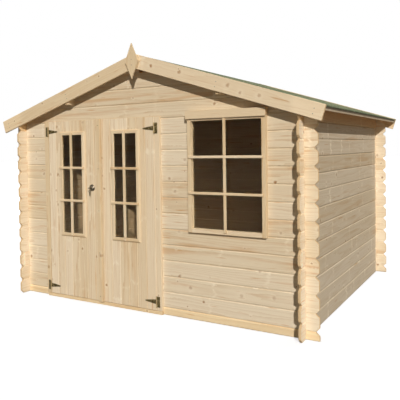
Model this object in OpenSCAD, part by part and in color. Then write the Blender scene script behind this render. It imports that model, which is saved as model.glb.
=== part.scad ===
// Garden shed of interlocking wall boards, with a low pitched felt roof,
// a pair of glazed doors and one window in its front wall. Millimetres, +Z up.
// The origin is on the ground, in the middle of the four walls.

/* [Walls] */
// Width over the outer faces of the side walls
wall_span_x = 2980; // [2700:10:3300]
// Depth over the outer faces of the front and rear walls
wall_span_y = 2480; // [2200:10:2800]
// Thickness of the wall boards
board_t = 22; // [19:1:28]
// Height that one wall board covers
board_h = 137.5; // [125:0.5:150]
// Length of a board end past the wall that it crosses
end_run = 107; // [90:1:109]
// Bevel on the corners of a board end
end_bevel = 30; // [20:1:34]
// Play in the notches where boards cross
notch_play = 0.3; // [0.2:0.1:0.5]

/* [Roof] */
// Pitch of the roof in degrees
roof_pitch = 17.4; // [12:0.2:22]
// Thickness of the roof boards
roof_t = 18; // [15:1:22]
// Roof boards past the outer face of a side wall
eave_run = 180; // [120:5:240]
// Roof boards past the outer face of the front and rear walls
gable_run = 90; // [70:1:130]
// Thickness of the felt
felt_t = 3; // [2:0.5:5]
// Turned down edge of the felt at the eaves
felt_drop = 12; // [8:1:20]
// Height of the strip along the eaves
eave_strip_h = 34; // [28:1:45]
// Thickness of the strip along the eaves
eave_strip_t = 16; // [12:1:22]
// Depth of a barge board
barge_h = 120; // [95:1:145]
// Thickness of a barge board
barge_t = 20; // [16:1:25]
// Rise of a barge board over the roof boards
barge_rise = 8; // [6:1:14]
// Width of a purlin
purlin_w = 45; // [38:1:60]
// Depth of a purlin
purlin_h = 116; // [95:1:145]
// Height of the kite shaped board on the front apex
finial_h = 309; // [240:1:360]
// Width of the kite shaped board
finial_w = 136; // [110:1:160]
// Thickness of the kite shaped board
finial_t = 32; // [20:1:40]

/* [Floor] */
// Thickness of the floor boards
floor_t = 18; // [15:1:22]
// Width of a floor bearer
bearer_w = 45; // [38:1:60]
// Floor bearers from front to rear
bearer_count = 5; // [4:1:7]

/* [Doors] */
// Width of the face of a door post
post_w = 50; // [40:1:60]
// Thickness of the face of a door post
post_t = 28; // [24:1:32]
// Thickness of the web and the back of a door post
post_web = 20; // [16:1:24]
// Width of the stop that a leaf closes over
post_stop = 15; // [12:1:18]
// Thickness of the boards of a door leaf
leaf_t = 22; // [19:1:23]
// Gap between a leaf and its post
post_gap = 5; // [5:0.5:6]
// Gap between the two leaves
leaf_gap = 6; // [6:0.5:8]
// Lap of a leaf over the wall above the doorway
leaf_lap_top = 16; // [10:1:20]
// Lap of a leaf over the sill board
leaf_lap_bottom = 34; // [25:1:45]
// Thickness of a ledge on the back of a leaf
ledge_t = 18; // [15:1:22]
// Height of a ledge
ledge_h = 95; // [70:1:110]
// Width of the strip on the free edge of the left leaf
strip_w = 45; // [36:1:55]
// Thickness of that strip
strip_t = 28; // [20:1:30]
// Width of the glazing frame on a leaf
sash_w = 35; // [28:1:42]
// Thickness of the glazing frame on a leaf
sash_t = 15; // [12:1:20]
// Overlap of the glazing frame on the edge of the glass
sash_lap = 10; // [8:1:12]
// Depth from the face of the glazing frame to the glass
sash_reveal = 8; // [6:1:8]
// Hole in the boards of a leaf past each edge of its glazing
leaf_hole_run = 22; // [14:1:24]
// Thickness of the bead round that hole on the back of a leaf
bead_t = 8; // [6:1:12]
// Thickness of the glass
glass_t = 4; // [3:0.5:5]

/* [Window] */
// Width of the frame face of the window
window_face_w = 34; // [28:1:40]
// Projection of the window frame from the wall
window_proud = 40; // [30:1:45]
// Lap of the window frame face over the wall
window_lap = 12; // [8:1:16]
// Depth of the window frame behind the face of the wall
window_back = 6; // [4:1:12]
// Projection of the drip board from the wall
drip_proud = 60; // [56:1:75]
// Height of the drip board against the wall
drip_h = 54; // [45:1:70]
// Fall of the top of the drip board from the wall to its face
drip_fall = 6; // [3:1:10]
// Depth of the lip of the drip board before the frame
drip_lip_h = 23; // [18:1:30]
// Drip board past each side of the window frame
drip_end = 8; // [6:1:20]

/* [Fittings] */
// Height of a hinge flange
flange_h = 95; // [85:1:110]
// Width of a hinge flange from the pin
flange_w = 34; // [28:1:40]
// Length of a hinge strap from the pin
strap_len = 124; // [100:1:150]
// Height of a hinge strap at the pin
strap_h = 38; // [32:1:42]
// Height of a hinge strap at its tip
strap_tip_h = 12; // [8:1:18]
// Thickness of the hinge metal
hinge_t = 2.5; // [2:0.1:3]
// Radius of a hinge knuckle
knuckle_r = 5; // [4.5:0.1:6]
// Radius of a hinge pin
pin_r = 2.5; // [2:0.1:2.7]
// Radius of the lock rose
rose_r = 33; // [28:1:40]
// Thickness of the lock rose
rose_t = 9; // [6:1:12]

/* [Hidden] */
$fn = 48;
// Overrun of every cut past the solid that it cuts
cut = 5;
// Half of a length or of a number
half = 0.5;
// Boards in the height of a side wall
side_rows = 13;
// Full boards of the front wall up to the top of the doorway and the window
door_rows = 12;
// Full boards of the front wall under the window
under_window_rows = 5;
// Shares of the wall width: left wall to door, door over its posts, the left leaf
// between the posts, window frame, window to right wall, and ridge to side purlin
door_inset_share = 0.1034;
door_width_share = 0.4637;
left_leaf_share = 0.536;
window_width_share = 0.2369;
window_inset_share = 0.0987;
purlin_share = 0.2735;
// Shares of a leaf's height: its top, and the middle and height of its glazing
glazing_mid_share = 0.641;
glazing_h_share = 0.554;
// Share of the right leaf's width that its glass opening takes
glazing_w_share = 0.425;
// Height of the lock on a leaf, in a share of its height
lock_share = 0.6235;
// Heights of the two hinges on a leaf, in shares of its height
hinge_shares = [0.046, 0.94];
// Share of the left leaf's width from its hinge to its lock
lock_run_share = 0.814;
// Running clearance at a hinge pin, and between knuckles
pin_play = 0.1;
knuckle_gap = 0.5;
// Clearance between a hinge knuckle and the faces behind it
knuckle_lift = 0.3;
// Space between a ledge and the side of the doorway, and above and below it
ledge_inset = 24;
ledge_gap = 6;
// Height of the lowest ledge over the foot of a leaf
ledge_rise = 80;
// Clearance round the glass and other fitted pieces
fit = 0.3;
// Clearance between the sloping layers of the roof
layer_play = 0.05;

half_x = wall_span_x * half;
half_y = wall_span_y * half;
in_x = half_x - board_t;
in_y = half_y - board_t;
tip_x = half_x + end_run;
tip_y = half_y + end_run;
sill_h = board_h * half;
head_z = sill_h + door_rows * board_h;
window_z = sill_h + under_window_rows * board_h;
wall_top = side_rows * board_h;
ridge_z = wall_top + half_x * tan(roof_pitch);
rise_in = board_t * tan(roof_pitch);

roof_len = (half_x + eave_run) / cos(roof_pitch);
barge_len = roof_len + eave_strip_t;
roof_y = half_y + gable_run;
barge_y = roof_y + barge_t;
barge_up = roof_t + barge_rise;
top_tip_y = min(tip_y, roof_y - fit);
finial_top_share = 0.505;
finial_mid_z = ridge_z - barge_h * half + roof_t;
purlin_x = purlin_share * wall_span_x;

post_left = -half_x + door_inset_share * wall_span_x;
post_right = post_left + door_width_share * wall_span_x;
clear_left = post_left + post_w;
clear_right = post_right - post_w;
way_left = clear_left + post_stop;
way_right = clear_right - post_stop;
end_left = clear_left - post_web;
end_right = clear_right + post_web;
leaf_space = clear_right - clear_left - post_gap - post_gap - leaf_gap;
left_w = leaf_space * left_leaf_share;
right_w = leaf_space - left_w;
left_x0 = clear_left + post_gap;
left_x1 = left_x0 + left_w;
right_x0 = left_x1 + leaf_gap;
right_x1 = right_x0 + right_w;
leaf_z0 = sill_h - leaf_lap_bottom;
leaf_z1 = head_z + leaf_lap_top;
leaf_h = leaf_z1 - leaf_z0;
leaf_front = -half_y - post_t;
leaf_back = leaf_front + leaf_t;
sash_seat = leaf_front - sash_t + sash_reveal;

glazing_w = right_w * glazing_w_share;
glazing_h = leaf_h * glazing_h_share;
glazing_z = leaf_z0 + leaf_h * glazing_mid_share;
left_mid = (left_x0 + left_x1 - strip_w) * half;
right_mid = (right_x0 + right_x1 - strip_w) * half;

axis_y = leaf_front - knuckle_r - knuckle_lift;
axis_left = clear_left + post_gap * half;
axis_right = clear_right - post_gap * half;
lock_x = left_x0 + left_w * lock_run_share;
lock_z = leaf_z0 + leaf_h * lock_share;

win_w = window_width_share * wall_span_x;
win_x1 = half_x - window_inset_share * wall_span_x;
win_x0 = win_x1 - win_w;
hole_x0 = win_x0 + window_lap;
hole_x1 = win_x1 - window_lap;
win_z0 = window_z - window_lap * half;
win_z1 = head_z - window_lap * half;
win_mid_x = (win_x0 + win_x1) * half;
pane_w = win_w - window_face_w - window_face_w;
pane_h = win_z1 - win_z0 - window_face_w - window_face_w;
win_mid_z = (win_z0 + win_z1) * half;

wall_tan = [0.82, 0.73, 0.58];
side_tan = [0.67, 0.61, 0.50];
door_pale = [0.86, 0.79, 0.66];
trim_pale = [0.90, 0.82, 0.68];
felt_green = [0.46, 0.53, 0.42];
glass_dark = [0.20, 0.17, 0.14, 0.5];
zinc_dark = [0.22, 0.22, 0.19];
floor_tan = [0.78, 0.69, 0.54];

// A point of the roof, from the run down its slope and the height above its underside
function roof_point(run, up) = [
  run * cos(roof_pitch) + up * sin(roof_pitch),
  ridge_z - run * sin(roof_pitch) + up * cos(roof_pitch)
];

// The point of the plumb cut at the ridge, at a height above the underside
function ridge_point(up) = roof_point(-up * tan(roof_pitch), up);

// Height of the underside of the roof at a distance from the middle
function under_z(x) = ridge_z - x * tan(roof_pitch);

// Bevelled ends of a stack of boards, from the lowest joint up
function end_points(tip, z0, rows) = concat(
  [for (k = [0 : rows - 1]) each [
    [tip - end_bevel, z0 + k * board_h],
    [tip, z0 + k * board_h + end_bevel],
    [tip, z0 + (k + 1) * board_h - end_bevel]
  ]],
  [[tip - end_bevel, z0 + rows * board_h]]
);

function mirrored(points) = [for (i = [len(points) - 1 : -1 : 0]) [-points[i][0], points[i][1]]];

// An outline in x and z, as a slab from y0 back over a depth
module slab_xz(y0, depth) {
  translate([0, y0 + depth, 0])
    rotate([90, 0, 0])
      linear_extrude(depth) children();
}

// An outline in y and z, as a slab from x0 to the right over a depth
module slab_yz(x0, depth) {
  translate([x0, 0, 0])
    rotate([90, 0, 90])
      linear_extrude(depth) children();
}

module box(x0, x1, y0, y1, z0, z1) {
  translate([x0, y0, z0])
    cube([x1 - x0, y1 - y0, z1 - z0]);
}

// Notches of the front and rear boards, which the side boards pass through
module cross_notches(y0) {
  for (side = [-1, 1])
    for (k = [0 : side_rows - 1])
      translate([
        side * (half_x - board_t * half),
        y0 + board_t * half,
        (k + half) * board_h
      ])
        cube([board_t + notch_play, board_t + cut, sill_h + notch_play], center = true);
}

// Notches of the side boards, which the front and rear boards pass through
module side_notches(x0) {
  for (side = [-1, 1])
    for (k = [0 : side_rows])
      translate([
        x0 + board_t * half,
        side * (half_y - board_t * half),
        k * board_h
      ])
        cube([board_t + cut, board_t + notch_play, sill_h + notch_play], center = true);
}

// Everything under the roof boards, from the ground up
module under_roof(y0, depth) {
  slab_xz(y0, depth)
    polygon([
      [-tip_x - cut, 0],
      [tip_x + cut, 0],
      [tip_x + cut, under_z(tip_x + cut)],
      [0, ridge_z],
      [-tip_x - cut, under_z(tip_x + cut)]
    ]);
}

// The seats of the three purlins in a gable
module purlin_seats(y0) {
  for (x = [-purlin_x, 0, purlin_x])
    box(
      x - purlin_w * half - fit, x + purlin_w * half + fit, y0 - cut, y0 + board_t + cut,
      under_z(abs(x)) - purlin_h - fit, ridge_z + roof_t
    );
}

module front_sill() {
  color(wall_tan)
    difference() {
      slab_xz(-half_y, board_t)
        polygon([
          [-tip_x, 0], [tip_x, 0], [tip_x, sill_h - end_bevel], [tip_x - end_bevel, sill_h],
          [-tip_x + end_bevel, sill_h], [-tip_x, sill_h - end_bevel]
        ]);
      cross_notches(-half_y);
    }
}

module front_wall_left() {
  color(wall_tan)
    difference() {
      slab_xz(-half_y, board_t)
        polygon(concat(
          [[end_left, sill_h], [end_left, head_z]],
          mirrored(end_points(tip_x, sill_h, door_rows))
        ));
      cross_notches(-half_y);
    }
}

module front_wall_middle() {
  color(wall_tan)
    box(end_right, hole_x0, -half_y, -in_y, window_z, head_z);
}

module front_wall_below_window() {
  color(wall_tan)
    difference() {
      slab_xz(-half_y, board_t)
        polygon(concat(
          end_points(tip_x, sill_h, under_window_rows),
          [[end_right, window_z], [end_right, sill_h]]
        ));
      cross_notches(-half_y);
    }
}

module front_wall_right() {
  color(wall_tan)
    difference() {
      slab_xz(-half_y, board_t)
        polygon(concat(
          end_points(tip_x, window_z, door_rows - under_window_rows),
          [[hole_x1, head_z], [hole_x1, window_z]]
        ));
      cross_notches(-half_y);
    }
}

// A gable, from the joint over the doorway up to the roof boards
module gable(y0) {
  difference() {
    intersection() {
      slab_xz(y0, board_t)
        polygon([
          [-tip_x + end_bevel, head_z], [tip_x - end_bevel, head_z],
          [tip_x, head_z + end_bevel], [tip_x, ridge_z], [-tip_x, ridge_z],
          [-tip_x, head_z + end_bevel]
        ]);
      under_roof(y0 - cut, board_t + cut + cut);
    }
    cross_notches(y0);
    purlin_seats(y0);
  }
}

module front_gable() {
  color(wall_tan) gable(-half_y);
}

module rear_gable() {
  color(wall_tan) gable(in_y);
}

module rear_wall() {
  color(wall_tan)
    difference() {
      slab_xz(in_y, board_t)
        polygon(concat(
          [[-tip_x, 0], [tip_x, 0], [tip_x, sill_h - end_bevel]],
          end_points(tip_x, sill_h, door_rows),
          mirrored(end_points(tip_x, sill_h, door_rows)),
          [[-tip_x, sill_h - end_bevel]]
        ));
      cross_notches(in_y);
    }
}

// A side wall. The ends of its last board stop behind the barge boards, and its top is planed
// to the pitch of the roof.
module side_wall(side) {
  x0 = side < 0 ? -half_x : in_x;
  top_z = wall_top - board_h;
  ends = concat(end_points(tip_y, 0, side_rows - 1), end_points(top_tip_y, top_z, 1));
  difference() {
    slab_yz(x0, board_t)
      polygon(concat(ends, mirrored(ends)));
    side_notches(x0);
  }
  slab_xz(-in_y, in_y + in_y)
    polygon([
      [side * half_x, wall_top],
      [side * in_x, wall_top],
      [side * in_x, wall_top + rise_in]
    ]);
}

module left_wall() {
  color(side_tan) side_wall(-1);
}

module right_wall() {
  color(side_tan) side_wall(1);
}

module floor() {
  color(floor_tan)
    box(-in_x + fit, in_x - fit, -in_y + fit, in_y - fit, sill_h - floor_t, sill_h);
}

module floor_bearers() {
  color(floor_tan)
    for (k = [0 : bearer_count - 1])
      translate([
        -in_x + fit,
        -in_y + fit + k * (in_y + in_y - fit - fit - bearer_w) / (bearer_count - 1),
        0
      ])
        cube([in_x + in_x - fit - fit, bearer_w, sill_h - floor_t]);
}

module ridge_purlin() {
  color(floor_tan)
    slab_xz(-roof_y, roof_y + roof_y)
      polygon([
        [-purlin_w * half, ridge_z - purlin_h], [purlin_w * half, ridge_z - purlin_h],
        [purlin_w * half, under_z(purlin_w * half)], [0, ridge_z],
        [-purlin_w * half, under_z(purlin_w * half)]
      ]);
}

// A purlin halfway down a slope, with its top planed to the pitch
module side_purlin(side) {
  inner = purlin_x - purlin_w * half;
  outer = purlin_x + purlin_w * half;
  foot = under_z(purlin_x) - purlin_h;
  slab_xz(-roof_y, roof_y + roof_y)
    polygon([
      [side * inner, foot], [side * outer, foot],
      [side * outer, under_z(outer)], [side * inner, under_z(inner)]
    ]);
}

module left_purlin() {
  color(floor_tan) side_purlin(-1);
}

module right_purlin() {
  color(floor_tan) side_purlin(1);
}

// One slope of the roof, mirrored for the left
module slope(side) {
  mirror([side < 0 ? 1 : 0, 0, 0]) children();
}

module roof_boards() {
  slab_xz(-roof_y, roof_y + roof_y)
    polygon([
      ridge_point(layer_play), roof_point(roof_len, layer_play),
      roof_point(roof_len, roof_t), ridge_point(roof_t)
    ]);
}

module roof_boards_left() {
  color(wall_tan) slope(-1) roof_boards();
}

module roof_boards_right() {
  color(wall_tan) slope(1) roof_boards();
}

// Felt between the barge boards, turned down over the eave strip
module roof_felt() {
  slab_xz(-roof_y, roof_y + roof_y)
    polygon([
      ridge_point(roof_t + layer_play), roof_point(barge_len + layer_play, roof_t + layer_play),
      roof_point(barge_len + layer_play, roof_t - felt_drop),
      roof_point(barge_len + felt_t, roof_t - felt_drop),
      roof_point(barge_len + felt_t, roof_t + felt_t), ridge_point(roof_t + felt_t)
    ]);
}

module roof_felt_left() {
  color(felt_green) slope(-1) roof_felt();
}

module roof_felt_right() {
  color(felt_green) slope(1) roof_felt();
}

module eave_strip() {
  slab_xz(-roof_y, roof_y + roof_y)
    polygon([
      roof_point(roof_len + layer_play, roof_t - eave_strip_h),
      roof_point(barge_len, roof_t - eave_strip_h),
      roof_point(barge_len, roof_t), roof_point(roof_len + layer_play, roof_t)
    ]);
}

module eave_strip_left() {
  color(wall_tan) slope(-1) eave_strip();
}

module eave_strip_right() {
  color(wall_tan) slope(1) eave_strip();
}

// A barge board, which stands a little over the felt
module barge(y0) {
  slab_xz(y0, barge_t)
    polygon([
      ridge_point(barge_up - barge_h), roof_point(barge_len, barge_up - barge_h),
      roof_point(barge_len, barge_up), ridge_point(barge_up)
    ]);
}

module front_barge_left() {
  color(trim_pale) slope(-1) barge(-barge_y);
}

module front_barge_right() {
  color(trim_pale) slope(1) barge(-barge_y);
}

module rear_barge_left() {
  color(trim_pale) slope(-1) barge(roof_y);
}

module rear_barge_right() {
  color(trim_pale) slope(1) barge(roof_y);
}

module front_finial() {
  color(trim_pale)
    slab_xz(-barge_y - finial_t, finial_t)
      polygon([
        [0, finial_mid_z + finial_h * finial_top_share],
        [-finial_w * half, finial_mid_z],
        [0, finial_mid_z + finial_h * (finial_top_share - 1)],
        [finial_w * half, finial_mid_z]
      ]);
}

// A door post: a face on the wall, and a web and back that clasp the ends of the boards
module door_post() {
  box(-post_w, 0, leaf_front, -half_y, leaf_z0, leaf_z1);
  box(-post_web, post_stop, -half_y, -in_y + post_web, sill_h, head_z);
  box(-post_w, post_stop, -in_y + fit, -in_y + post_web, sill_h, head_z);
}

module door_post_left() {
  color(trim_pale)
    translate([clear_left, 0, 0]) door_post();
}

module door_post_right() {
  color(trim_pale)
    translate([clear_right, 0, 0])
      mirror([1, 0, 0]) door_post();
}

// A slab in the middle of the glazing of a leaf, past each edge of it, from y0 to y1
module glazing_slab(mid, run, y0, y1) {
  translate([mid, (y0 + y1) * half, glazing_z])
    cube([glazing_w + run + run, y1 - y0, glazing_h + run + run], center = true);
}

// The boards of a leaf, with the hole behind its glass
module leaf(x0, x1, mid) {
  difference() {
    box(x0, x1, leaf_front, leaf_back, leaf_z0, leaf_z1);
    glazing_slab(mid, leaf_hole_run, leaf_front - cut, leaf_back + cut);
  }
}

module left_door_leaf() {
  color(door_pale) leaf(left_x0, left_x1, left_mid);
}

module right_door_leaf() {
  color(door_pale) leaf(right_x0, right_x1, right_mid);
}

// The ledges on the back of a leaf: one low down, and one under and one over its glass
module ledges(x0, x1) {
  y1 = leaf_back + ledge_t;
  under = glazing_z - glazing_h * half - sash_w - ledge_gap;
  over = glazing_z + glazing_h * half + sash_w + ledge_gap;
  box(x0, x1, leaf_back, y1, leaf_z0 + ledge_rise, leaf_z0 + ledge_rise + ledge_h);
  box(x0, x1, leaf_back, y1, under - ledge_h, under);
  box(x0, x1, leaf_back, y1, over, head_z - ledge_gap);
}

module left_door_ledges() {
  color(door_pale) ledges(way_left + ledge_inset, left_x1 - ledge_inset);
}

module right_door_ledges() {
  color(door_pale) ledges(right_x0 + ledge_inset, way_right - ledge_inset);
}

// A glazing frame on the front of a leaf, rebated for the glass, and a bead on its back
module sash(mid) {
  difference() {
    glazing_slab(mid, sash_w, leaf_front - sash_t, leaf_front);
    glazing_slab(mid, 0, leaf_front - sash_t - cut, leaf_front + cut);
    glazing_slab(mid, sash_lap, sash_seat, leaf_front + cut);
  }
  difference() {
    glazing_slab(mid, sash_w, leaf_back, leaf_back + bead_t);
    glazing_slab(mid, leaf_hole_run, leaf_back - cut, leaf_back + bead_t + cut);
  }
}

module left_door_window_frame() {
  color(trim_pale) sash(left_mid);
}

module right_door_window_frame() {
  color(trim_pale) sash(right_mid);
}

module leaf_glass(mid) {
  glazing_slab(mid, sash_lap - fit, sash_seat, sash_seat + glass_t);
}

module left_door_glass() {
  color(glass_dark) leaf_glass(left_mid);
}

module right_door_glass() {
  color(glass_dark) leaf_glass(right_mid);
}

module at_hinges(axis_x, flip) {
  for (share = hinge_shares)
    translate([axis_x, axis_y, leaf_z0 + leaf_h * share])
      mirror([flip, 0, 0]) children();
}

// The flange of a tee hinge, with its two knuckles and the pin between them
module hinge_flange() {
  plate_y = knuckle_r + knuckle_lift - hinge_t;
  difference() {
    union() {
      translate([-flange_w, plate_y, -flange_h * half])
        cube([flange_w, hinge_t, flange_h]);
      cylinder(r = knuckle_r, h = flange_h, center = true);
    }
    cube(
      [
        knuckle_r + knuckle_r + knuckle_gap + knuckle_gap,
        knuckle_r + knuckle_r + cut,
        strap_h + knuckle_gap + knuckle_gap
      ],
      center = true
    );
  }
  cylinder(r = pin_r, h = flange_h, center = true);
}

module left_hinge_flanges() {
  color(zinc_dark) at_hinges(axis_left, 0) hinge_flange();
}

module right_hinge_flanges() {
  color(zinc_dark) at_hinges(axis_right, 1) hinge_flange();
}

// The strap of a tee hinge, tapered to its tip, with its knuckle round the pin
module hinge_strap() {
  difference() {
    union() {
      translate([0, knuckle_r + knuckle_lift, 0])
        rotate([90, 0, 0])
          linear_extrude(hinge_t)
            polygon([
              [0, -strap_h * half], [strap_h * half, -strap_h * half],
              [strap_len - strap_tip_h * half, -strap_tip_h * half], [strap_len, 0],
              [strap_len - strap_tip_h * half, strap_tip_h * half],
              [strap_h * half, strap_h * half], [0, strap_h * half]
            ]);
      cylinder(r = knuckle_r, h = strap_h, center = true);
    }
    cylinder(r = pin_r + pin_play, h = strap_h + cut, center = true);
  }
}

module left_hinge_straps() {
  color(zinc_dark) at_hinges(axis_left, 0) hinge_strap();
}

module right_hinge_straps() {
  color(zinc_dark) at_hinges(axis_right, 1) hinge_strap();
}

module meeting_strip() {
  color(trim_pale)
    box(left_x1 - strip_w, left_x1, leaf_front - strip_t, leaf_front, leaf_z0, leaf_z1);
}

// A round rose with the plug of the lock
module door_lock() {
  color(zinc_dark)
    translate([lock_x, leaf_front, lock_z])
      rotate([90, 0, 0]) {
        cylinder(r = rose_r, h = rose_t);
        cylinder(r = rose_r * half, h = rose_t + rose_t);
      }
}

// The window frame: a face on the wall, and a lining in the edge of the opening
module window_frame() {
  color(trim_pale)
    difference() {
      union() {
        box(win_x0, win_x1, -half_y - window_proud, -half_y, win_z0, win_z1);
        box(
          hole_x0 + fit, hole_x1 - fit, -half_y - window_proud, -half_y + window_back,
          window_z + fit, win_z1
        );
      }
      translate([win_mid_x, -half_y, win_mid_z])
        cube([pane_w, wall_span_y, pane_h], center = true);
    }
}

module window_glass() {
  color(glass_dark)
    translate([win_mid_x, -half_y, win_mid_z])
      cube([pane_w - fit, glass_t, pane_h - fit], center = true);
}

// A board over the window, with a lip that hangs before the frame
module drip_board() {
  lip_y = window_proud + cut;
  color(trim_pale)
    slab_yz(win_x0 - drip_end, win_w + drip_end + drip_end)
      polygon([
        [-half_y, win_z1],
        [-half_y, win_z1 + drip_h],
        [-half_y - drip_proud, win_z1 + drip_h - drip_fall],
        [-half_y - drip_proud, win_z1 - drip_lip_h],
        [-half_y - lip_y, win_z1 - drip_lip_h],
        [-half_y - lip_y, win_z1]
      ]);
}

front_sill();
front_wall_left();
front_wall_middle();
front_wall_below_window();
front_wall_right();
front_gable();
rear_wall();
rear_gable();
left_wall();
right_wall();
floor();
floor_bearers();
ridge_purlin();
left_purlin();
right_purlin();
roof_boards_left();
roof_boards_right();
roof_felt_left();
roof_felt_right();
eave_strip_left();
eave_strip_right();
front_barge_left();
front_barge_right();
rear_barge_left();
rear_barge_right();
front_finial();
door_post_left();
door_post_right();
left_door_leaf();
right_door_leaf();
left_door_ledges();
right_door_ledges();
left_door_window_frame();
right_door_window_frame();
left_door_glass();
right_door_glass();
left_hinge_flanges();
right_hinge_flanges();
left_hinge_straps();
right_hinge_straps();
meeting_strip();
door_lock();
window_frame();
window_glass();
drip_board();
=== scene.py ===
import math
import random

import bmesh
import bpy
from mathutils import Matrix, Vector, noise


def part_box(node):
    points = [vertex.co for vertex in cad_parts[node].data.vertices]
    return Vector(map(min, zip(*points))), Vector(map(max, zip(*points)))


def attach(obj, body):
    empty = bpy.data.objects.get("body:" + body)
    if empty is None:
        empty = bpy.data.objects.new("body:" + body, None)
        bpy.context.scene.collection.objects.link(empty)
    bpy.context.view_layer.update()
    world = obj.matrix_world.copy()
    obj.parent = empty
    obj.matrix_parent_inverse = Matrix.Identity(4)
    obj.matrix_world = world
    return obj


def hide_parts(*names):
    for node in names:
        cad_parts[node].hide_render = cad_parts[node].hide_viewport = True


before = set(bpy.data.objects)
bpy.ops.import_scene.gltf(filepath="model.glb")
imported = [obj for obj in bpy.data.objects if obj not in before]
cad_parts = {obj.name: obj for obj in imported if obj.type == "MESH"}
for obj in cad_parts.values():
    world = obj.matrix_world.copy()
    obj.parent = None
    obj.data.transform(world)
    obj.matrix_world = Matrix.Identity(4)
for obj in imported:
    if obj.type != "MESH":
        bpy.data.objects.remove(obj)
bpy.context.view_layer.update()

# A garden shed of interlocking spruce boards, dressed board by board over its solids.
# Metres, in the frame of the solids: x to the right, y to the rear, z up.

MM = 0.001

# Sizes that the part's source gives the shed
BOARD_T = 22 * MM
BOARD_H = 137.5 * MM
HALF_X = 1490 * MM
HALF_Y = 1240 * MM
END_RUN = 107 * MM
END_BEVEL = 30 * MM
NOTCH_PLAY = 0.3 * MM
PITCH = math.radians(17.4)
ROOF_T = 18 * MM
EAVE_RUN = 180 * MM
GABLE_RUN = 90 * MM
EAVE_STRIP_H = 34 * MM
EAVE_STRIP_T = 16 * MM
BARGE_H = 120 * MM
BARGE_T = 20 * MM
BARGE_RISE = 8 * MM
PURLIN_W = 45 * MM
PURLIN_H = 116 * MM
PURLIN_SHARE = 0.2735
BEARERS = 5
BEARER_W = 45 * MM
SIDE_ROWS = 13
DOOR_ROWS = 12
ROWS_UNDER_WINDOW = 5
GABLE_ROWS = 4
FIT = 0.3 * MM
SASH_W = 35 * MM
LEAF_HOLE_RUN = 22 * MM
SASH_LAP = 10 * MM
FRAME_W = 34 * MM
FRAME_LAP = 12 * MM
DRIP_FALL = 6 * MM
DRIP_LIP_H = 23 * MM
POST_W = 50 * MM
POST_WEB = 20 * MM
POST_STOP = 15 * MM
FLANGE_W = 34 * MM
FLANGE_H = 95 * MM
STRAP_H = 38 * MM
HINGE_T = 2.5 * MM
KNUCKLE_R = 5 * MM

IN_X = HALF_X - BOARD_T
IN_Y = HALF_Y - BOARD_T
TIP_X = HALF_X + END_RUN
TIP_Y = HALF_Y + END_RUN
SILL_H = BOARD_H / 2
HEAD_Z = SILL_H + DOOR_ROWS * BOARD_H
WALL_TOP = SIDE_ROWS * BOARD_H
RISE = math.tan(PITCH)
RIDGE_Z = WALL_TOP + HALF_X * RISE
ROOF_LEN = (HALF_X + EAVE_RUN) / math.cos(PITCH)
BARGE_LEN = ROOF_LEN + EAVE_STRIP_T
ROOF_Y = HALF_Y + GABLE_RUN
BARGE_Y = ROOF_Y + BARGE_T
BARGE_UP = ROOF_T + BARGE_RISE
TOP_TIP_Y = min(TIP_Y, ROOF_Y - FIT)
PURLIN_X = PURLIN_SHARE * 2 * HALF_X
KITE_Z = RIDGE_Z - BARGE_H / 2 + ROOF_T

# Sizes of what the source leaves to the scene
ROOF_PLANKS = 27
FLOOR_BOARDS = 30
LATH_H = 12 * MM
PACKING_BACK = 4 * MM
KITE_T = 12 * MM
BAR_W = 22 * MM
FELT_T = 2 * MM
CLOUT_R = 4.5 * MM

# Where the scene departs from a solid: the felt's edge hangs less, so that the packing strip shows
# under it, the lip of the drip board is higher, so that the head of the window frame shows, and the
# ridge purlin ends behind the front barge boards
FELT_DROP = 4 * MM
LIP_LIFT = 6 * MM
RIDGE_PURLIN_BACK = 120 * MM

# From one wave to the next in a wave texture with a scale of 1
WAVE = 0.314

# Places in a piece's list of finishes
# The third place is for a finish of painted warm shade, on the top board under the eaves
PLAIN_WOOD, SAWN_END, PAINTED_EAVE_SHADE = 0, 1, 2

# Grain of a stick that is drawn by its section: through the section, then along its two sides
BY_SECTION = (2, 0, 1)

X, Y, Z = Vector((1, 0, 0)), Vector((0, 1, 0)), Vector((0, 0, 1))


# Camera, light and floor

def photo_camera():
    """The camera of the photograph: 30 degrees round to the right, at eye height."""
    yaw, tip, roll = (math.radians(d) for d in (30.3, -1.36, -0.84))
    ahead = Vector((-math.sin(yaw) * math.cos(tip), math.cos(yaw) * math.cos(tip), math.sin(tip)))
    level = Vector((math.cos(yaw), math.sin(yaw), 0))
    upright = level.cross(ahead)
    right = level * math.cos(roll) + upright * math.sin(roll)
    up = upright * math.cos(roll) - level * math.sin(roll)
    lens = bpy.data.cameras.new("photo_camera")
    lens.sensor_width = 36.0
    lens.lens = 47.52
    lens.shift_y = -0.1
    lens.clip_end = 200.0
    camera = bpy.data.objects.new("photo_camera", lens)
    turn = Matrix((right, up, -ahead)).transposed().to_4x4()
    camera.matrix_world = Matrix.Translation((2.807, -5.035, 1.459)) @ turn
    bpy.context.scene.collection.objects.link(camera)
    bpy.context.scene.camera = camera


def srgb(code):
    """A hex colour as linear red, green, blue and alpha."""
    parts = [int(code[i:i + 2], 16) / 255 for i in (1, 3, 5)]
    return tuple(p / 12.92 if p <= 0.04045 else ((p + 0.055) / 1.055) ** 2.4 for p in parts) + (1.0,)


def add(tree, kind, feeds=None, **settings):
    """Adds a shader node with its settings. Each input is set to a value, or linked to a socket or to
    the first socket of a node."""
    node = tree.nodes.new("ShaderNode" + kind)
    for key, value in settings.items():
        setattr(node, key, value)
    for key, value in (feeds or {}).items():
        if isinstance(value, bpy.types.Node):
            value = value.outputs[0]
        if isinstance(value, bpy.types.NodeSocket):
            tree.links.new(value, node.inputs[key])
        else:
            node.inputs[key].default_value = value
    return node


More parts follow.
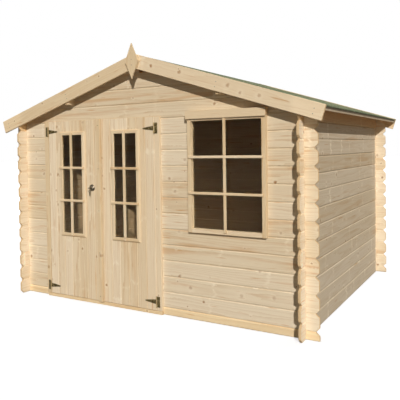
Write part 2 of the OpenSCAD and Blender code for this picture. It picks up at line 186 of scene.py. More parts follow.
def new_finish(name):
    """A material with no nodes yet, and its node tree."""
    finish = bpy.data.materials.new(name)
    finish.use_nodes = True
    finish.node_tree.nodes.clear()
    return finish, finish.node_tree


def daylight():
    """Sun from the front right, with a pale sky that is brighter behind the shed."""
    lamp = bpy.data.lights.new("sun", "SUN")
    lamp.energy = 2.8
    lamp.angle = math.radians(0.6)
    lamp.color = srgb("#FFF6E8")[:3]
    sun = bpy.data.objects.new("sun", lamp)
    sun.rotation_mode = "QUATERNION"
    sun.rotation_quaternion = Vector((-0.7, 1.0, -0.54)).to_track_quat("-Z", "Y")
    sun.location = (4, -6, 4)
    bpy.context.scene.collection.objects.link(sun)

    world = bpy.data.worlds.new("pale_sky")
    world.use_nodes = True
    tree = world.node_tree
    tree.nodes.clear()
    path = add(tree, "LightPath")
    look = add(tree, "TexCoord").outputs["Generated"]
    rear = add(tree, "VectorMath", {0: look, 1: (-0.3, 0.87, 0.4)}, operation="DOT_PRODUCT")
    glow = add(tree, "MapRange", {"Value": rear.outputs["Value"], "From Min": 0.1, "From Max": 0.9,
                                  "To Min": 0.14, "To Max": 1.0}, interpolation_type="SMOOTHSTEP")
    fill = add(tree, "Background", {"Color": srgb("#F8E8CC"), "Strength": glow})
    white = add(tree, "Background", {"Color": srgb("#FFFFFF"), "Strength": 1.0})
    both = add(tree, "MixShader", {0: path.outputs["Is Camera Ray"], 1: fill, 2: white})
    add(tree, "OutputWorld", {"Surface": both})
    bpy.context.scene.world = world
    bpy.context.scene.view_settings.view_transform = "Standard"


def studio_floor():
    """A plain pale floor that fades to white away from the shed, and throws little light on it."""
    mesh = bmesh.new()
    bmesh.ops.create_circle(mesh, cap_ends=True, segments=96, radius=60.0)
    data = bpy.data.meshes.new("studio_floor")
    mesh.to_mesh(data)
    mesh.free()
    paint, tree = new_finish("pale_studio_paint")
    spot = add(tree, "TexCoord").outputs["Object"]
    far = add(tree, "VectorMath", {0: spot}, operation="LENGTH").outputs["Value"]
    fade = add(tree, "MapRange", {"Value": far, "From Min": 2.5, "From Max": 9.0, "To Min": 0.66,
                                  "To Max": 1.0}, interpolation_type="SMOOTHSTEP")
    seen = add(tree, "LightPath").outputs["Is Camera Ray"]
    shown = add(tree, "Math", {0: fade, 1: seen}, operation="MULTIPLY")
    tint = add(tree, "Mix", {0: seen, 6: srgb("#868481"), 7: srgb("#C4CBDD")}, data_type="RGBA")
    coat = add(tree, "BsdfPrincipled", {"Base Color": tint.outputs[2], "Roughness": 0.9,
                                        "Specular IOR Level": 0.1, "Emission Color": srgb("#FFFFFF"),
                                        "Emission Strength": shown})
    add(tree, "OutputMaterial", {"Surface": coat})
    data.materials.append(paint)
    ground = bpy.data.objects.new("studio_floor", data)
    ground.location.z = -2 * MM
    bpy.context.scene.collection.objects.link(ground)


# Finishes

def spruce(name, pale, ring, stain, knot, light_knot, ring_share, stain_share, rough, fibre_depth,
           painted_corner_light=1.1):
    """Spruce: pale soft wood with wandering growth rings, fine fibres along the board, warm resin
    stains and a few brown knots with a pale ring. Every board has its own place in the log, in its
    grain and tone. What faces up, and the board ends round a corner of the walls, are painted paler:
    painted light."""
    finish, tree = new_finish(name)
    # Where a spot lies in its log, along the grain and across it. Each pattern divides that by its
    # own length and width, or has a scale of so many in a length
    grain = add(tree, "Attribute", attribute_name="grain").outputs["Vector"]
    tone = add(tree, "Attribute", attribute_name="tone").outputs["Fac"]

    # Knots: a place for one about every 150 mm, some of them filled, each of its own size and depth
    apart = 150 * MM
    wobble = add(tree, "TexNoise", {"Vector": grain, "Scale": 9 / (200 * MM), "Detail": 1.0})
    bent = add(tree, "VectorMath", {0: wobble.outputs["Color"], 1: (22 * MM, 14 * MM, 0.0), 2: grain},
               operation="MULTIPLY_ADD")
    cells = add(tree, "TexVoronoi", {"Vector": bent, "Scale": 1 / apart, "Randomness": 0.95},
                voronoi_dimensions="2D")
    luck = add(tree, "SeparateColor", {"Color": cells.outputs["Color"]})
    kept = add(tree, "Math", {0: luck.outputs["Red"], 1: 0.72}, operation="GREATER_THAN")
    deep = add(tree, "MapRange", {"Value": luck.outputs["Blue"], "To Min": 0.2, "To Max": 0.9})
    size = add(tree, "MapRange", {"Value": luck.outputs["Green"], "To Min": 9 * MM / apart,
                                  "To Max": 25.5 * MM / apart})
    core = add(tree, "Math", {0: size, 1: 0.2}, operation="MULTIPLY")
    spread = add(tree, "Math", {0: size, 1: 2.6}, operation="MULTIPLY")
    spot = add(tree, "MapRange", {"Value": cells.outputs["Distance"], "From Min": size,
                                  "From Max": core, "To Max": deep}, interpolation_type="SMOOTHSTEP")
    round_knot = add(tree, "MapRange", {"Value": cells.outputs["Distance"], "From Min": spread,
                                        "From Max": core, "To Max": 0.6},
                     interpolation_type="SMOOTHSTEP")
    is_knot = add(tree, "Math", {0: spot, 1: kept}, operation="MULTIPLY")
    near_knot = add(tree, "Math", {0: round_knot, 1: kept}, operation="MULTIPLY")

    # Growth rings: 3 mm apart in the tree, drawn 9 mm apart so that they show
    slow = add(tree, "VectorMath", {0: grain, 1: (1250 * MM, 1000 * MM / 11, 1000 * MM / 11)},
               operation="DIVIDE")
    drift = add(tree, "TexNoise", {"Vector": slow, "Scale": 1.0, "Detail": 2.0})
    bow = add(tree, "VectorMath", {0: drift.outputs["Color"], 1: (0.0, 50 * MM, 50 * MM), 2: grain},
              operation="MULTIPLY_ADD")
    push = add(tree, "CombineXYZ", {"Y": near_knot})
    log = add(tree, "VectorMath", {0: push, 1: (0.0, 20 * MM, 0.0), 2: bow},
              operation="MULTIPLY_ADD")
    rings = add(tree, "TexWave", {"Vector": log, "Scale": WAVE / (9 * MM), "Distortion": 0.6,
                                  "Detail": 2.0, "Detail Scale": 1.5}, wave_type="RINGS",
                rings_direction="X", wave_profile="SAW").outputs["Fac"]
    late = add(tree, "Math", {0: rings, 1: 2.2}, operation="POWER")

    # Streaks 25 mm wide, and fibres, 0.3 mm wide in the tree and drawn as 18 in 25 mm so that they show
    wide = add(tree, "VectorMath", {0: grain, 1: (1000 * MM / 1.3, 25 * MM, 25 * MM)},
               operation="DIVIDE")
    streak = add(tree, "TexNoise", {"Vector": wide, "Scale": 1.0, "Detail": 3.0,
                                    "Roughness": 0.6}).outputs["Fac"]
    thin = add(tree, "VectorMath", {0: grain, 1: (500 * MM / 11, 25 * MM / 18, 25 * MM / 18)},
               operation="DIVIDE")
    fibre = add(tree, "TexNoise", {"Vector": thin, "Scale": 1.0, "Detail": 2.0}).outputs["Fac"]

    # Resin stain: warm patches 0.6 m long, more of them on some boards than on others
    patch = add(tree, "VectorMath", {0: grain, 1: (625 * MM, 125 * MM / 3, 125 * MM / 3)},
                operation="DIVIDE")
    resin = add(tree, "TexNoise", {"Vector": patch, "Scale": 1.0, "Detail": 3.0}).outputs["Fac"]
    lean = add(tree, "Math", {0: tone, 1: -0.16, 2: resin}, operation="MULTIPLY_ADD")
    broad = add(tree, "MapRange", {"Value": lean, "From Min": 0.46, "From Max": 0.7,
                                   "To Max": stain_share}, interpolation_type="SMOOTHSTEP")

    # Resin lines: short streaks, up to 18 mm wide
    vein = add(tree, "VectorMath", {0: grain, 1: (2000 * MM / 7, 200 * MM / 11, 200 * MM / 11)},
               operation="DIVIDE")
    sap = add(tree, "TexNoise", {"Vector": vein, "Scale": 1.0, "Detail": 2.0}).outputs["Fac"]
    narrow = add(tree, "MapRange", {"Value": sap, "From Min": 0.64, "From Max": 0.78, "To Max": 0.8},
                 interpolation_type="SMOOTHSTEP")
    stained = add(tree, "Math", {0: broad, 1: narrow}, operation="MAXIMUM")

    # Pale smears across a board where a ring of branches began: up to 24 mm to each side of a place
    # for one about every 400 mm, some of them filled
    whorl = 400 * MM
    swing = add(tree, "VectorMath", {0: grain, 1: (1000 * MM / 9, 500 * MM / 13, 500 * MM / 13)},
                operation="DIVIDE")
    sway = add(tree, "TexNoise", {"Vector": swing, "Scale": 1.0, "Detail": 3.0})
    trunk = add(tree, "SeparateXYZ", {0: grain}).outputs["X"]
    height = add(tree, "Math", {0: sway.outputs["Fac"], 1: 120 * MM, 2: trunk},
                 operation="MULTIPLY_ADD")
    year = add(tree, "TexVoronoi", {"W": height, "Scale": 1 / whorl, "Randomness": 1.0},
               voronoi_dimensions="1D")
    strong = add(tree, "MapRange", {"Value": year.outputs["Color"], "From Min": 0.45, "From Max": 0.7,
                                    "To Max": 0.85})
    branches = add(tree, "MapRange", {"Value": year.outputs["Distance"], "From Min": 24 * MM / whorl,
                                      "From Max": 0.0, "To Max": strong},
                   interpolation_type="SMOOTHSTEP")
    patchy = add(tree, "MapRange", {"Value": streak, "From Min": 0.38, "From Max": 0.6, "To Max": 0.9})
    fleck = add(tree, "Math", {0: branches, 1: patchy}, operation="MULTIPLY")

    # Painted light: what faces up, the upward arrises of the joints too, is painted paler as a painted
    # highlight, and board ends round the corners of the walls are painted paler as painted light
    facing = add(tree, "NewGeometry").outputs["True Normal"]
    upward = add(tree, "SeparateXYZ", {0: facing}).outputs["Z"]
    up_facing_painted_light = add(tree, "MapRange", {"Value": upward, "From Min": 0.15, "From Max": 0.35, "To Min": 1.0,
                                   "To Max": 1.12})
    here = add(tree, "TexCoord").outputs["Object"]
    away = add(tree, "VectorMath", {0: here}, operation="ABSOLUTE")
    past = add(tree, "VectorMath", {0: away, 1: (HALF_X, HALF_Y, 0.0)}, operation="SUBTRACT")
    by = add(tree, "SeparateXYZ", {0: past})
    corner = add(tree, "Math", {0: by.outputs["X"], 1: by.outputs["Y"]}, operation="MINIMUM")
    # Painted light: paler towards the board ends round each corner of the walls
    ends = add(tree, "MapRange", {"Value": corner, "From Min": -90 * MM, "From Max": -20 * MM,
                                  "To Min": 1.0, "To Max": painted_corner_light}, interpolation_type="SMOOTHSTEP")
    board = add(tree, "MapRange", {"Value": tone, "To Min": 0.95, "To Max": 1.05})
    even = add(tree, "MapRange", {"Value": fibre, "From Min": 0.3, "From Max": 0.7, "To Min": 0.96,
                                  "To Max": 1.03})
    light = add(tree, "Math", {0: up_facing_painted_light, 1: ends}, operation="MULTIPLY")
    plain = add(tree, "Math", {0: board, 1: even}, operation="MULTIPLY")
    shade = add(tree, "Math", {0: light, 1: plain}, operation="MULTIPLY")
    depth = add(tree, "MapRange", {"Value": tone, "To Min": 1.12, "To Max": 0.88})

    lines = add(tree, "Math", {0: late, 1: streak}, operation="MULTIPLY")
    ring_mix = add(tree, "MapRange", {"Value": lines, "From Max": 0.62, "To Max": ring_share})
    wood = add(tree, "Mix", {0: ring_mix, 6: srgb(pale), 7: srgb(ring)}, data_type="RGBA")
    warm = add(tree, "Mix", {0: stained, 6: wood.outputs[2], 7: srgb(stain)}, data_type="RGBA")
    halo = add(tree, "Math", {0: near_knot, 1: patchy}, operation="MULTIPLY")
    pale_share = add(tree, "Math", {0: halo, 1: fleck}, operation="MAXIMUM")
    ringed = add(tree, "Mix", {0: pale_share, 6: warm.outputs[2], 7: srgb(light_knot)},
                 data_type="RGBA")
    toned = add(tree, "HueSaturation", {"Saturation": depth, "Value": shade,
                                        "Color": ringed.outputs[2]})
    whole = add(tree, "Mix", {0: is_knot, 6: toned, 7: srgb(knot)}, data_type="RGBA")

    gloss = add(tree, "MapRange", {"Value": streak, "To Min": rough + 0.08, "To Max": rough - 0.08})
    relief = add(tree, "Math", {0: late, 1: 0.5, 2: fibre}, operation="MULTIPLY_ADD")
    bump = add(tree, "Bump", {"Height": relief, "Strength": 0.5, "Distance": fibre_depth})
    skin = add(tree, "BsdfPrincipled", {"Base Color": whole.outputs[2], "Roughness": gloss,
                                        "Normal": bump, "Specular IOR Level": 0.3})
    add(tree, "OutputMaterial", {"Surface": skin})
    return finish


def sawn_end(name, pale, ring):
    """Sawn end of a spruce board: growth rings in arcs, and a dry, rough cut. The rings are drawn
    7 mm apart and the saw marks 2.4 mm, so that they show."""
    finish, tree = new_finish(name)
    grain = add(tree, "Attribute", attribute_name="grain").outputs["Vector"]
    rings = add(tree, "TexWave", {"Vector": grain, "Scale": WAVE / (7 * MM), "Distortion": 0.8,
                                  "Detail": 2.0, "Detail Scale": 2.0}, wave_type="RINGS",
                rings_direction="X", wave_profile="SAW").outputs["Fac"]
    saw = add(tree, "TexNoise", {"Vector": grain, "Scale": 21 / (50 * MM),
                                 "Detail": 3.0}).outputs["Fac"]
    late = add(tree, "Math", {0: rings, 1: saw}, operation="MULTIPLY")
    wood = add(tree, "Mix", {0: late, 6: srgb(pale), 7: srgb(ring)}, data_type="RGBA")
    bump = add(tree, "Bump", {"Height": saw, "Strength": 0.5, "Distance": 0.6 * MM})
    skin = add(tree, "BsdfPrincipled", {"Base Color": wood.outputs[2], "Roughness": 0.85,
                                        "Normal": bump, "Specular IOR Level": 0.2})
    add(tree, "OutputMaterial", {"Surface": skin})
    return finish


def mineral_felt():
    """Bitumen roofing felt with crushed green slate pressed into it: a dry, gritty sheet, with
    paler and darker grains and faint worn patches of 250 mm. Grit of 1 mm is drawn 5 mm wide."""
    finish, tree = new_finish("green_mineral_felt")
    spot = add(tree, "TexCoord").outputs["Object"]
    grit = add(tree, "TexVoronoi", {"Vector": spot, "Scale": 1 / (5 * MM)})
    luck = add(tree, "SeparateColor", {"Color": grit.outputs["Color"]}).outputs["Red"]
    worn = add(tree, "TexNoise", {"Vector": spot, "Scale": 1 / (250 * MM),
                                  "Detail": 5.0}).outputs["Fac"]
    grains = add(tree, "ValToRGB", {"Fac": luck})
    ramp = grains.color_ramp.elements
    ramp[0].color, ramp[1].color = srgb("#566852"), srgb("#A8B49E")
    ramp.new(0.5).color = srgb("#7A8C70")
    patchy = add(tree, "MapRange", {"Value": worn, "From Min": 0.3, "From Max": 0.7, "To Min": 0.82,
                                    "To Max": 1.12})
    green = add(tree, "HueSaturation", {"Value": patchy, "Color": grains})
    bump = add(tree, "Bump", {"Height": luck, "Strength": 0.6, "Distance": 1.0 * MM})
    rough = add(tree, "MapRange", {"Value": luck, "To Min": 0.8, "To Max": 0.98})
    skin = add(tree, "BsdfPrincipled", {"Base Color": green, "Roughness": rough, "Normal": bump,
                                        "Specular IOR Level": 0.25})
    add(tree, "OutputMaterial", {"Surface": skin})
    return finish


def window_pane():
    """Float glass: clear and flat, with a faint film of dry dust, in patches of 110 mm, that dulls it
    a little. It is tinted warm, and so is the lamps' light through it, which warms the room and its
    sun patches: painted light. Lamps light what is behind it."""
    finish, tree = new_finish("float_glass")
    spot = add(tree, "TexCoord").outputs["Object"]
    dust = add(tree, "TexNoise", {"Vector": spot, "Scale": 9 / (1000 * MM),
                                  "Detail": 4.0}).outputs["Fac"]
    film = add(tree, "MapRange", {"Value": dust, "From Min": 0.35, "From Max": 0.75, "To Min": 0.0,
                                  "To Max": 0.004})
    # Warm tint on what is seen through the glass, and on the lamps' light through it: painted light
    pane = add(tree, "BsdfPrincipled", {"Base Color": srgb("#D4CEC2"), "Roughness": film, "IOR": 1.5,
                                        "Transmission Weight": 1.0})
    clear = add(tree, "BsdfTransparent", {"Color": srgb("#FFFAF0")})
    lamp_ray = add(tree, "LightPath").outputs["Is Shadow Ray"]
    both = add(tree, "MixShader", {0: lamp_ray, 1: pane, 2: clear})
    add(tree, "OutputMaterial", {"Surface": both})
    return finish


def plated(name, base, worn, rough, metallic=1.0, cloud=50 * MM / 3):
    """Plated metal: a thin cloudy coat with a grain of about 1 mm, and brighter metal where hands and
    screws rub it. The clouds are 17 mm wide on the fittings, and finer on nails."""
    finish, tree = new_finish(name)
    spot = add(tree, "TexCoord").outputs["Object"]
    cloudy = add(tree, "TexNoise", {"Vector": spot, "Scale": 1 / cloud, "Detail": 4.0}).outputs["Fac"]
    fine = add(tree, "TexNoise", {"Vector": spot, "Scale": 9 / (10 * MM),
                                  "Detail": 2.0}).outputs["Fac"]
    rub = add(tree, "MapRange", {"Value": cloudy, "From Min": 0.4, "From Max": 0.68},
              interpolation_type="SMOOTHSTEP")
    coat = add(tree, "Mix", {0: rub, 6: srgb(base), 7: srgb(worn)}, data_type="RGBA")
    gloss = add(tree, "MapRange", {"Value": fine, "To Min": rough - 0.1, "To Max": rough + 0.12})
    bump = add(tree, "Bump", {"Height": fine, "Strength": 0.25, "Distance": 0.1 * MM})
    skin = add(tree, "BsdfPrincipled", {"Base Color": coat.outputs[2], "Roughness": gloss,
                                        "Metallic": metallic, "Normal": bump})
    add(tree, "OutputMaterial", {"Surface": skin})
    return finish


# How pieces are made

# Edge profiles, from a face inwards: how far an edge that joins the next board steps in, how far any
# other edge does, and at what depth

def chamfer(size):
    """A flat bevel on every edge."""
    return (size, size, 0.0), (0.0, 0.0, size)


def rounded(size):
    """A rounded edge, in two flats."""
    return (size, size, 0.0), (0.29 * size, 0.29 * size, 0.29 * size), (0.0, 0.0, size)


def tongued(vee):
    """A shallow vee with a narrow slot at its foot, down to the tongue that closes the joint."""
    slot = 1.5 * MM
    return (vee, 2 * MM, 0.0), (slot, 0.0, 0.42 * vee), (slot, 0.0, 0.9 * vee), (0.0, 0.0, 1.1 * vee)


def place(origin, along, across):
    """Where a board lies: along its outline, across it, and out of its face."""
    out = along.cross(across)
    spot = Matrix((along, across, out)).transposed().to_4x4()
    spot.translation = origin
    return spot


def tidy(outline):
    """An outline without repeated points, and anticlockwise."""
    kept = []
    for p in outline:
        if not kept or (Vector(p) - Vector(kept[-1])).length > 0.3 * MM:
            kept.append(tuple(p))
    if (Vector(kept[0]) - Vector(kept[-1])).length <= 0.3 * MM:
        kept.pop()
    turn = sum(p[0] * q[1] - q[0] * p[1] for p, q in zip(kept, kept[1:] + kept[:1]))
    return kept if turn > 0 else kept[::-1]


def inset(outline, steps):
    """The outline with every edge moved inwards by its own step."""
    lines = []
    for p, q, by in zip(outline, outline[1:] + outline[:1], steps):
        run = (Vector(q) - Vector(p)).normalized()
        lines.append((Vector(p) + Vector((-run.y, run.x)) * by, run))
    moved = []
    for (p, d), (q, e) in zip(lines[-1:] + lines[:-1], lines):
        turn = d.x * e.y - d.y * e.x
        straight = abs(turn) < 1e-3
        step = 0.0 if straight else ((q.x - p.x) * e.y - (q.y - p.y) * e.x) / turn
        moved.append(tuple(q if straight else p + d * step))
    return moved


class Timber:
    """The boards of one piece, gathered in one mesh. Each keeps its own grain and tone."""

    def __init__(self, seed):
        self.mesh = bmesh.new()
        self.grain = self.mesh.verts.layers.float_vector.new("grain")
        self.tone = self.mesh.verts.layers.float.new("tone")
        self.chance = random.Random(seed)

    def pick(self, middle=0.0):
        """The place of a board in the log it was sawn from, and its tone."""
        part = self.chance.uniform
        log = Vector((part(0, 60), part(-0.07, 0.07) - middle, part(0.03, 0.13)))
        return log, self.chance.random()

    def board(self, outline, spot, thick, edge, grain=(0, 1, 2), wood=PLAIN_WOOD):
        """A board of that outline, with shaped edges. grain says which of its own axes runs along
        the wood, across it and through it, and wood which of the piece's finishes it has."""
        outline = tidy(outline)
        levels = [*edge, *[(j, i, thick - d) for j, i, d in reversed(edge)]]
        rims = (min(p[1] for p in outline), max(p[1] for p in outline))
        joins = [grain[0] == 0 and any(abs(p[1] - r) + abs(q[1] - r) < 1e-6 for r in rims)
                 for p, q in zip(outline, outline[1:] + outline[:1])]
        reach = [*zip(*outline), (0.0, thick)][grain[1]]
        log, tone = self.pick((min(reach) + max(reach)) / 2)
        rings = []
        for join, other, depth in levels:
            ring = []
            for a, b in inset(outline, [join if is_join else other for is_join in joins]):
                vert = self.mesh.verts.new(spot @ Vector((a, b, depth)))
                own = (a, b, depth)
                vert[self.grain] = Vector([own[k] for k in grain]) + log
                vert[self.tone] = tone
                ring.append(vert)
            rings.append(ring)
        cap_end = SAWN_END if grain[0] == 2 else wood
        for ring in (rings[0][::-1], rings[-1]):
            self.mesh.faces.new(ring).material_index = cap_end
        count = len(outline)
        for i in range(count):
            j = (i + 1) % count
            da, db = (abs(outline[j][k] - outline[i][k]) for k in (0, 1))
            cut_end = {0: db >= da * 0.99, 1: da >= db * 0.99, 2: False}[grain[0]]
            for lower, upper in zip(rings, rings[1:]):
                face = self.mesh.faces.new((lower[i], lower[j], upper[j], upper[i]))
                face.material_index = SAWN_END if cut_end else wood

    def stick(self, x0, x1, y0, y1, z0, z1, along, edge=rounded(1.5 * MM)):
        """A straight stick between two corners, with its grain along x, y or z."""
        if along == "x":
            self.board([(x0, z0), (x1, z0), (x1, z1), (x0, z1)], place((0, y1, 0), X, Z), y1 - y0, edge)
        elif along == "z":
            self.board([(z0, x0), (z1, x0), (z1, x1), (z0, x1)], place((0, y0, 0), Z, X), y1 - y0, edge)
        else:
            self.board([(y0, x0), (y1, x0), (y1, x1), (y0, x1)], place((0, 0, z1), Y, X), z1 - z0, edge)

    def frame(self, x0, x1, z0, z1, section):
        """Four moulded sticks round an opening, mitred at its corners. The section is a list of
        points, each the distance out from the opening and the place in y."""
        corners = [(x0, z0, -1, -1), (x1, z0, 1, -1), (x1, z1, 1, 1), (x0, z1, -1, 1)]
        for start, end in zip(corners, corners[1:] + corners[:1]):
            lying = start[1] == end[1]
            log, tone = self.pick()
            ends = []
            for x, z, right, up in (start, end):
                ring = []
                for out, y in section:
                    at = Vector((x + right * out, y, z + up * out))
                    vert = self.mesh.verts.new(at)
                    vert[self.grain] = Vector((at.x if lying else at.z, out, y + HALF_Y)) + log
                    vert[self.tone] = tone
                    ring.append(vert)
                ends.append(ring)
            for ring in ends:
                self.mesh.faces.new(ring).material_index = SAWN_END
            join_rings(self.mesh, ends)


def piece(name, mesh, finishes, body, nodes=(), smooth=None):
    """Puts a mesh in the scene as a piece that rides on a body and stands for some solids. Edges up to
    smooth degrees are shaded round."""
    bmesh.ops.recalc_face_normals(mesh, faces=mesh.faces)
    data = bpy.data.meshes.new(name)
    mesh.to_mesh(data)
    mesh.free()
    for finish in finishes:
        data.materials.append(finish)
    if smooth is not None:
        data.polygons.foreach_set("use_smooth", [True] * len(data.polygons))
        data.set_sharp_from_angle(angle=math.radians(smooth))
    thing = bpy.data.objects.new(name, data)
    bpy.context.scene.collection.objects.link(thing)
    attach(thing, body)
    if nodes:
        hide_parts(*nodes)


def ring_of(mesh, spot, radii, height):
    """Points round the axis out of a face, each at its own radius."""
    turns = [2 * math.pi * k / len(radii) for k in range(len(radii))]
    return [mesh.verts.new(spot @ Vector((r * math.cos(a), r * math.sin(a), height)))
            for a, r in zip(turns, radii)]


def join_rings(mesh, rings):
    """Faces from each ring of points to the next. A ring of one point closes a form."""
    sides = max(len(ring) for ring in rings)
    for low, high in zip(rings, rings[1:]):
        for k in range(sides):
            j = (k + 1) % sides
            corners = [low[k % len(low)], low[j % len(low)], high[j % len(high)], high[k % len(high)]]
            mesh.faces.new(list(dict.fromkeys(corners)))


def turned(mesh, profile, spot, sides=24):
    """A turned form, from points of radius and height about the axis out of a face."""
    join_rings(mesh, [ring_of(mesh, spot, [radius] * (sides if radius > 0 else 1), height)
                      for radius, height in profile])


def nail(mesh, point, out, radius=3.5 * MM):
    """The flat head of a nail, a little proud of the wood."""
    side = out.orthogonal().normalized()
    turned(mesh, [(0, -1 * MM), (radius, -1 * MM), (radius, 0.5 * MM), (radius * 0.8, 0.9 * MM),
                  (0, 1.0 * MM)], place(point, side, out.cross(side)), 12)


def screw(mesh, point, out, radius=4 * MM):
    """A domed screw head with a star shaped recess."""
    side = out.orthogonal().normalized()
    spot = place(point, side, out.cross(side))
    rim = [radius] * 16
    star = [radius * (0.55 if k % 4 == 0 else 0.24) for k in range(16)]
    rings = [ring_of(mesh, spot, [r * share for r in radii], height * MM) for radii, share, height in
             ((rim, 1.0, 0.0), (rim, 1.0, 0.6), (rim, 0.82, 1.5), (star, 1.0, 1.9), (star, 0.8, 0.9))]
    join_rings(mesh, rings)
    mesh.faces.new(rings[0][::-1])
    mesh.faces.new(rings[-1])


# Walls

WALL_JOINT = tongued(9 * MM)


def stretch_outline(a, b, low, high, logs=(False, False), low_cuts=(), high_cuts=(), roof=None,
                    low_bevel=True):
    """Outline of a board from a to b: log ends are bevelled, cuts are notches (from, to, depth) in
    its lower or upper edge, and roof gives the height that it has to stay under."""
    marks = {a, b, a + END_BEVEL if logs[0] else a, b - END_BEVEL if logs[1] else b}
    marks |= {x for c in (*low_cuts, *high_cuts) for x in c[:2]}
    if roof:
        marks |= {0.0, (RIDGE_Z - high) / RISE, (high - RIDGE_Z) / RISE}
    marks = sorted(x for x in marks if a - 1e-9 <= x <= b + 1e-9)

    def bevel(x):
        return max(END_BEVEL - (x - a) if logs[0] else 0.0, END_BEVEL - (b - x) if logs[1] else 0.0, 0.0)

    def notch(x, cuts):
        return max([c[2] for c in cuts if c[0] < x < c[1]], default=0.0)

    lower, upper = [], []
    for x0, x1 in zip(marks, marks[1:]):
        hair = (x1 - x0) * 1e-4
        if x1 - x0 < 1e-7:
            continue
        for x, inner in ((x0, x0 + hair), (x1, x1 - hair)):
            lower.append((x, low + max(bevel(inner) if low_bevel else 0.0, notch(inner, low_cuts))))
            top = high - max(bevel(inner), notch(inner, high_cuts))
            upper.append((x, min(top, roof(inner)) if roof else top))
    return lower + upper[::-1]


def crossing(middle):
    """Where the boards of the two other walls pass, as notches a quarter of a board deep."""
    wide = (BOARD_T + NOTCH_PLAY) / 2
    deep = (SILL_H + NOTCH_PLAY) / 2
    return [(side * middle - wide, side * middle + wide, deep) for side in (-1, 1)]


def under_roof(x):
    """How high the underside of the roof is at x."""
    return RIDGE_Z - abs(x) * RISE


def wall_rows(timber, spot, a, b, first, last, logs, notches):
    """Boards of a front or rear wall from a to b, from one row up to another."""
    for k in range(first, last):
        low = SILL_H + k * BOARD_H
        timber.board(stretch_outline(a, b, low, low + BOARD_H, logs, notches, notches), spot, BOARD_T,
                     WALL_JOINT)


def gable_rows(timber, spot, notches):
    """Boards from the head of the doorway up to the ridge, cut to the roof, with seats for purlins."""
    seats = [(x, under_roof(x) - PURLIN_H - FIT) for x in (-PURLIN_X, 0.0, PURLIN_X)]
    wide = PURLIN_W / 2 + FIT
    for k in range(GABLE_ROWS):
        low = HEAD_Z + k * BOARD_H
        high = min(low + BOARD_H, RIDGE_Z)
        reach = min(TIP_X, (RIDGE_Z - low) / RISE)
        cuts = [(x - wide, x + wide, high - max(foot, low)) for x, foot in seats
                if low < foot < high or (foot <= low and under_roof(x) > low)]
        through = [c for c in cuts if c[2] >= high - low - 10 * MM]
        cuts = [c for c in cuts if c not in through]
        spans = [(-reach, reach)]
        for c0, c1, _ in through:
            spans = [s for a, b in spans for s in ((a, min(b, c0)), (max(a, c1), b)) if s[1] - s[0] > MM]
        for a, b in spans:
            logs = (k == 0, k == 0)
            outline = stretch_outline(a, b, low, high, logs, notches if k == 0 else (), cuts, under_roof)
            timber.board(outline, spot, BOARD_T, WALL_JOINT if k < GABLE_ROWS - 1 else chamfer(3 * MM))


def wall_pieces(wood, side_wood_painted_shade, sill_wood):
    """The boards of the four walls and both gables, and the sill boards under front and rear."""
    front = place((0, -IN_Y, 0), X, Z)
    rear = place((0, IN_Y, 0), -X, Z)
    across = crossing(HALF_X - BOARD_T / 2)
    both, left_log, right_log, plain = (True, True), (True, False), (False, True), (False, False)

    sill = stretch_outline(-TIP_X, TIP_X, 0, SILL_H, both, (), across, low_bevel=False)
    timber = Timber(11)
    timber.board(sill, front, BOARD_T, WALL_JOINT)
    piece("front_sill_board", timber.mesh, sill_wood, "shed", ["front_sill"])

    for part, first, last, logs, notches, seed in (
            ("left", 0, DOOR_ROWS, left_log, across[:1], 12),
            ("middle", ROWS_UNDER_WINDOW, DOOR_ROWS, plain, (), 13),
            ("below_window", 0, ROWS_UNDER_WINDOW, right_log, across[1:], 14),
            ("right", ROWS_UNDER_WINDOW, DOOR_ROWS, right_log, across[1:], 15)):
        low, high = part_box("front_wall_" + part)
        timber = Timber(seed)
        wall_rows(timber, front, low.x, high.x, first, last, logs, notches)
        piece("front_boards_" + part, timber.mesh, wood, "shed", ["front_wall_" + part])

    timber = Timber(16)
    timber.board(sill, rear, BOARD_T, WALL_JOINT)
    wall_rows(timber, rear, -TIP_X, TIP_X, 0, DOOR_ROWS, both, across)
    piece("rear_boards", timber.mesh, wood, "shed", ["rear_wall"])

    for name, spot, seed in (("front_gable", front, 17), ("rear_gable", rear, 18)):
        timber = Timber(seed)
        gable_rows(timber, spot, across)
        piece(name + "_boards", timber.mesh, wood, "shed", [name])

    along = crossing(HALF_Y - BOARD_T / 2)
    for side, name, seed in ((-1, "left", 19), (1, "right", 20)):
        timber = Timber(seed)
        spot = place((side * IN_X, 0, 0), Y * side, Z)
        for k in range(SIDE_ROWS):
            low = k * BOARD_H
            is_top = k == SIDE_ROWS - 1
            tip = TOP_TIP_Y if is_top else TIP_Y
            # The top board of a side wall takes the finish of painted warm shade under the eave
            timber.board(stretch_outline(-tip, tip, low, low + BOARD_H, both, along, along), spot,
                         BOARD_T, WALL_JOINT, wood=PAINTED_EAVE_SHADE if is_top else PLAIN_WOOD)
        wedge = [(side * HALF_X, WALL_TOP), (side * IN_X, WALL_TOP),
                 (side * IN_X, WALL_TOP + BOARD_T * RISE)]
        timber.board(wedge, place((0, IN_Y, 0), X, Z), 2 * IN_Y, chamfer(0.2 * MM), BY_SECTION)
        piece(name + "_boards", timber.mesh, side_wood_painted_shade, "shed", [name + "_wall"])


# Roof and floor

def roof_point(run, up, side=1):
    """A point of a slope in x and z, from the run down it and the height above its underside."""
    return Vector((side * (run * math.cos(PITCH) + up * math.sin(PITCH)),
                   RIDGE_Z - run * math.sin(PITCH) + up * math.cos(PITCH)))


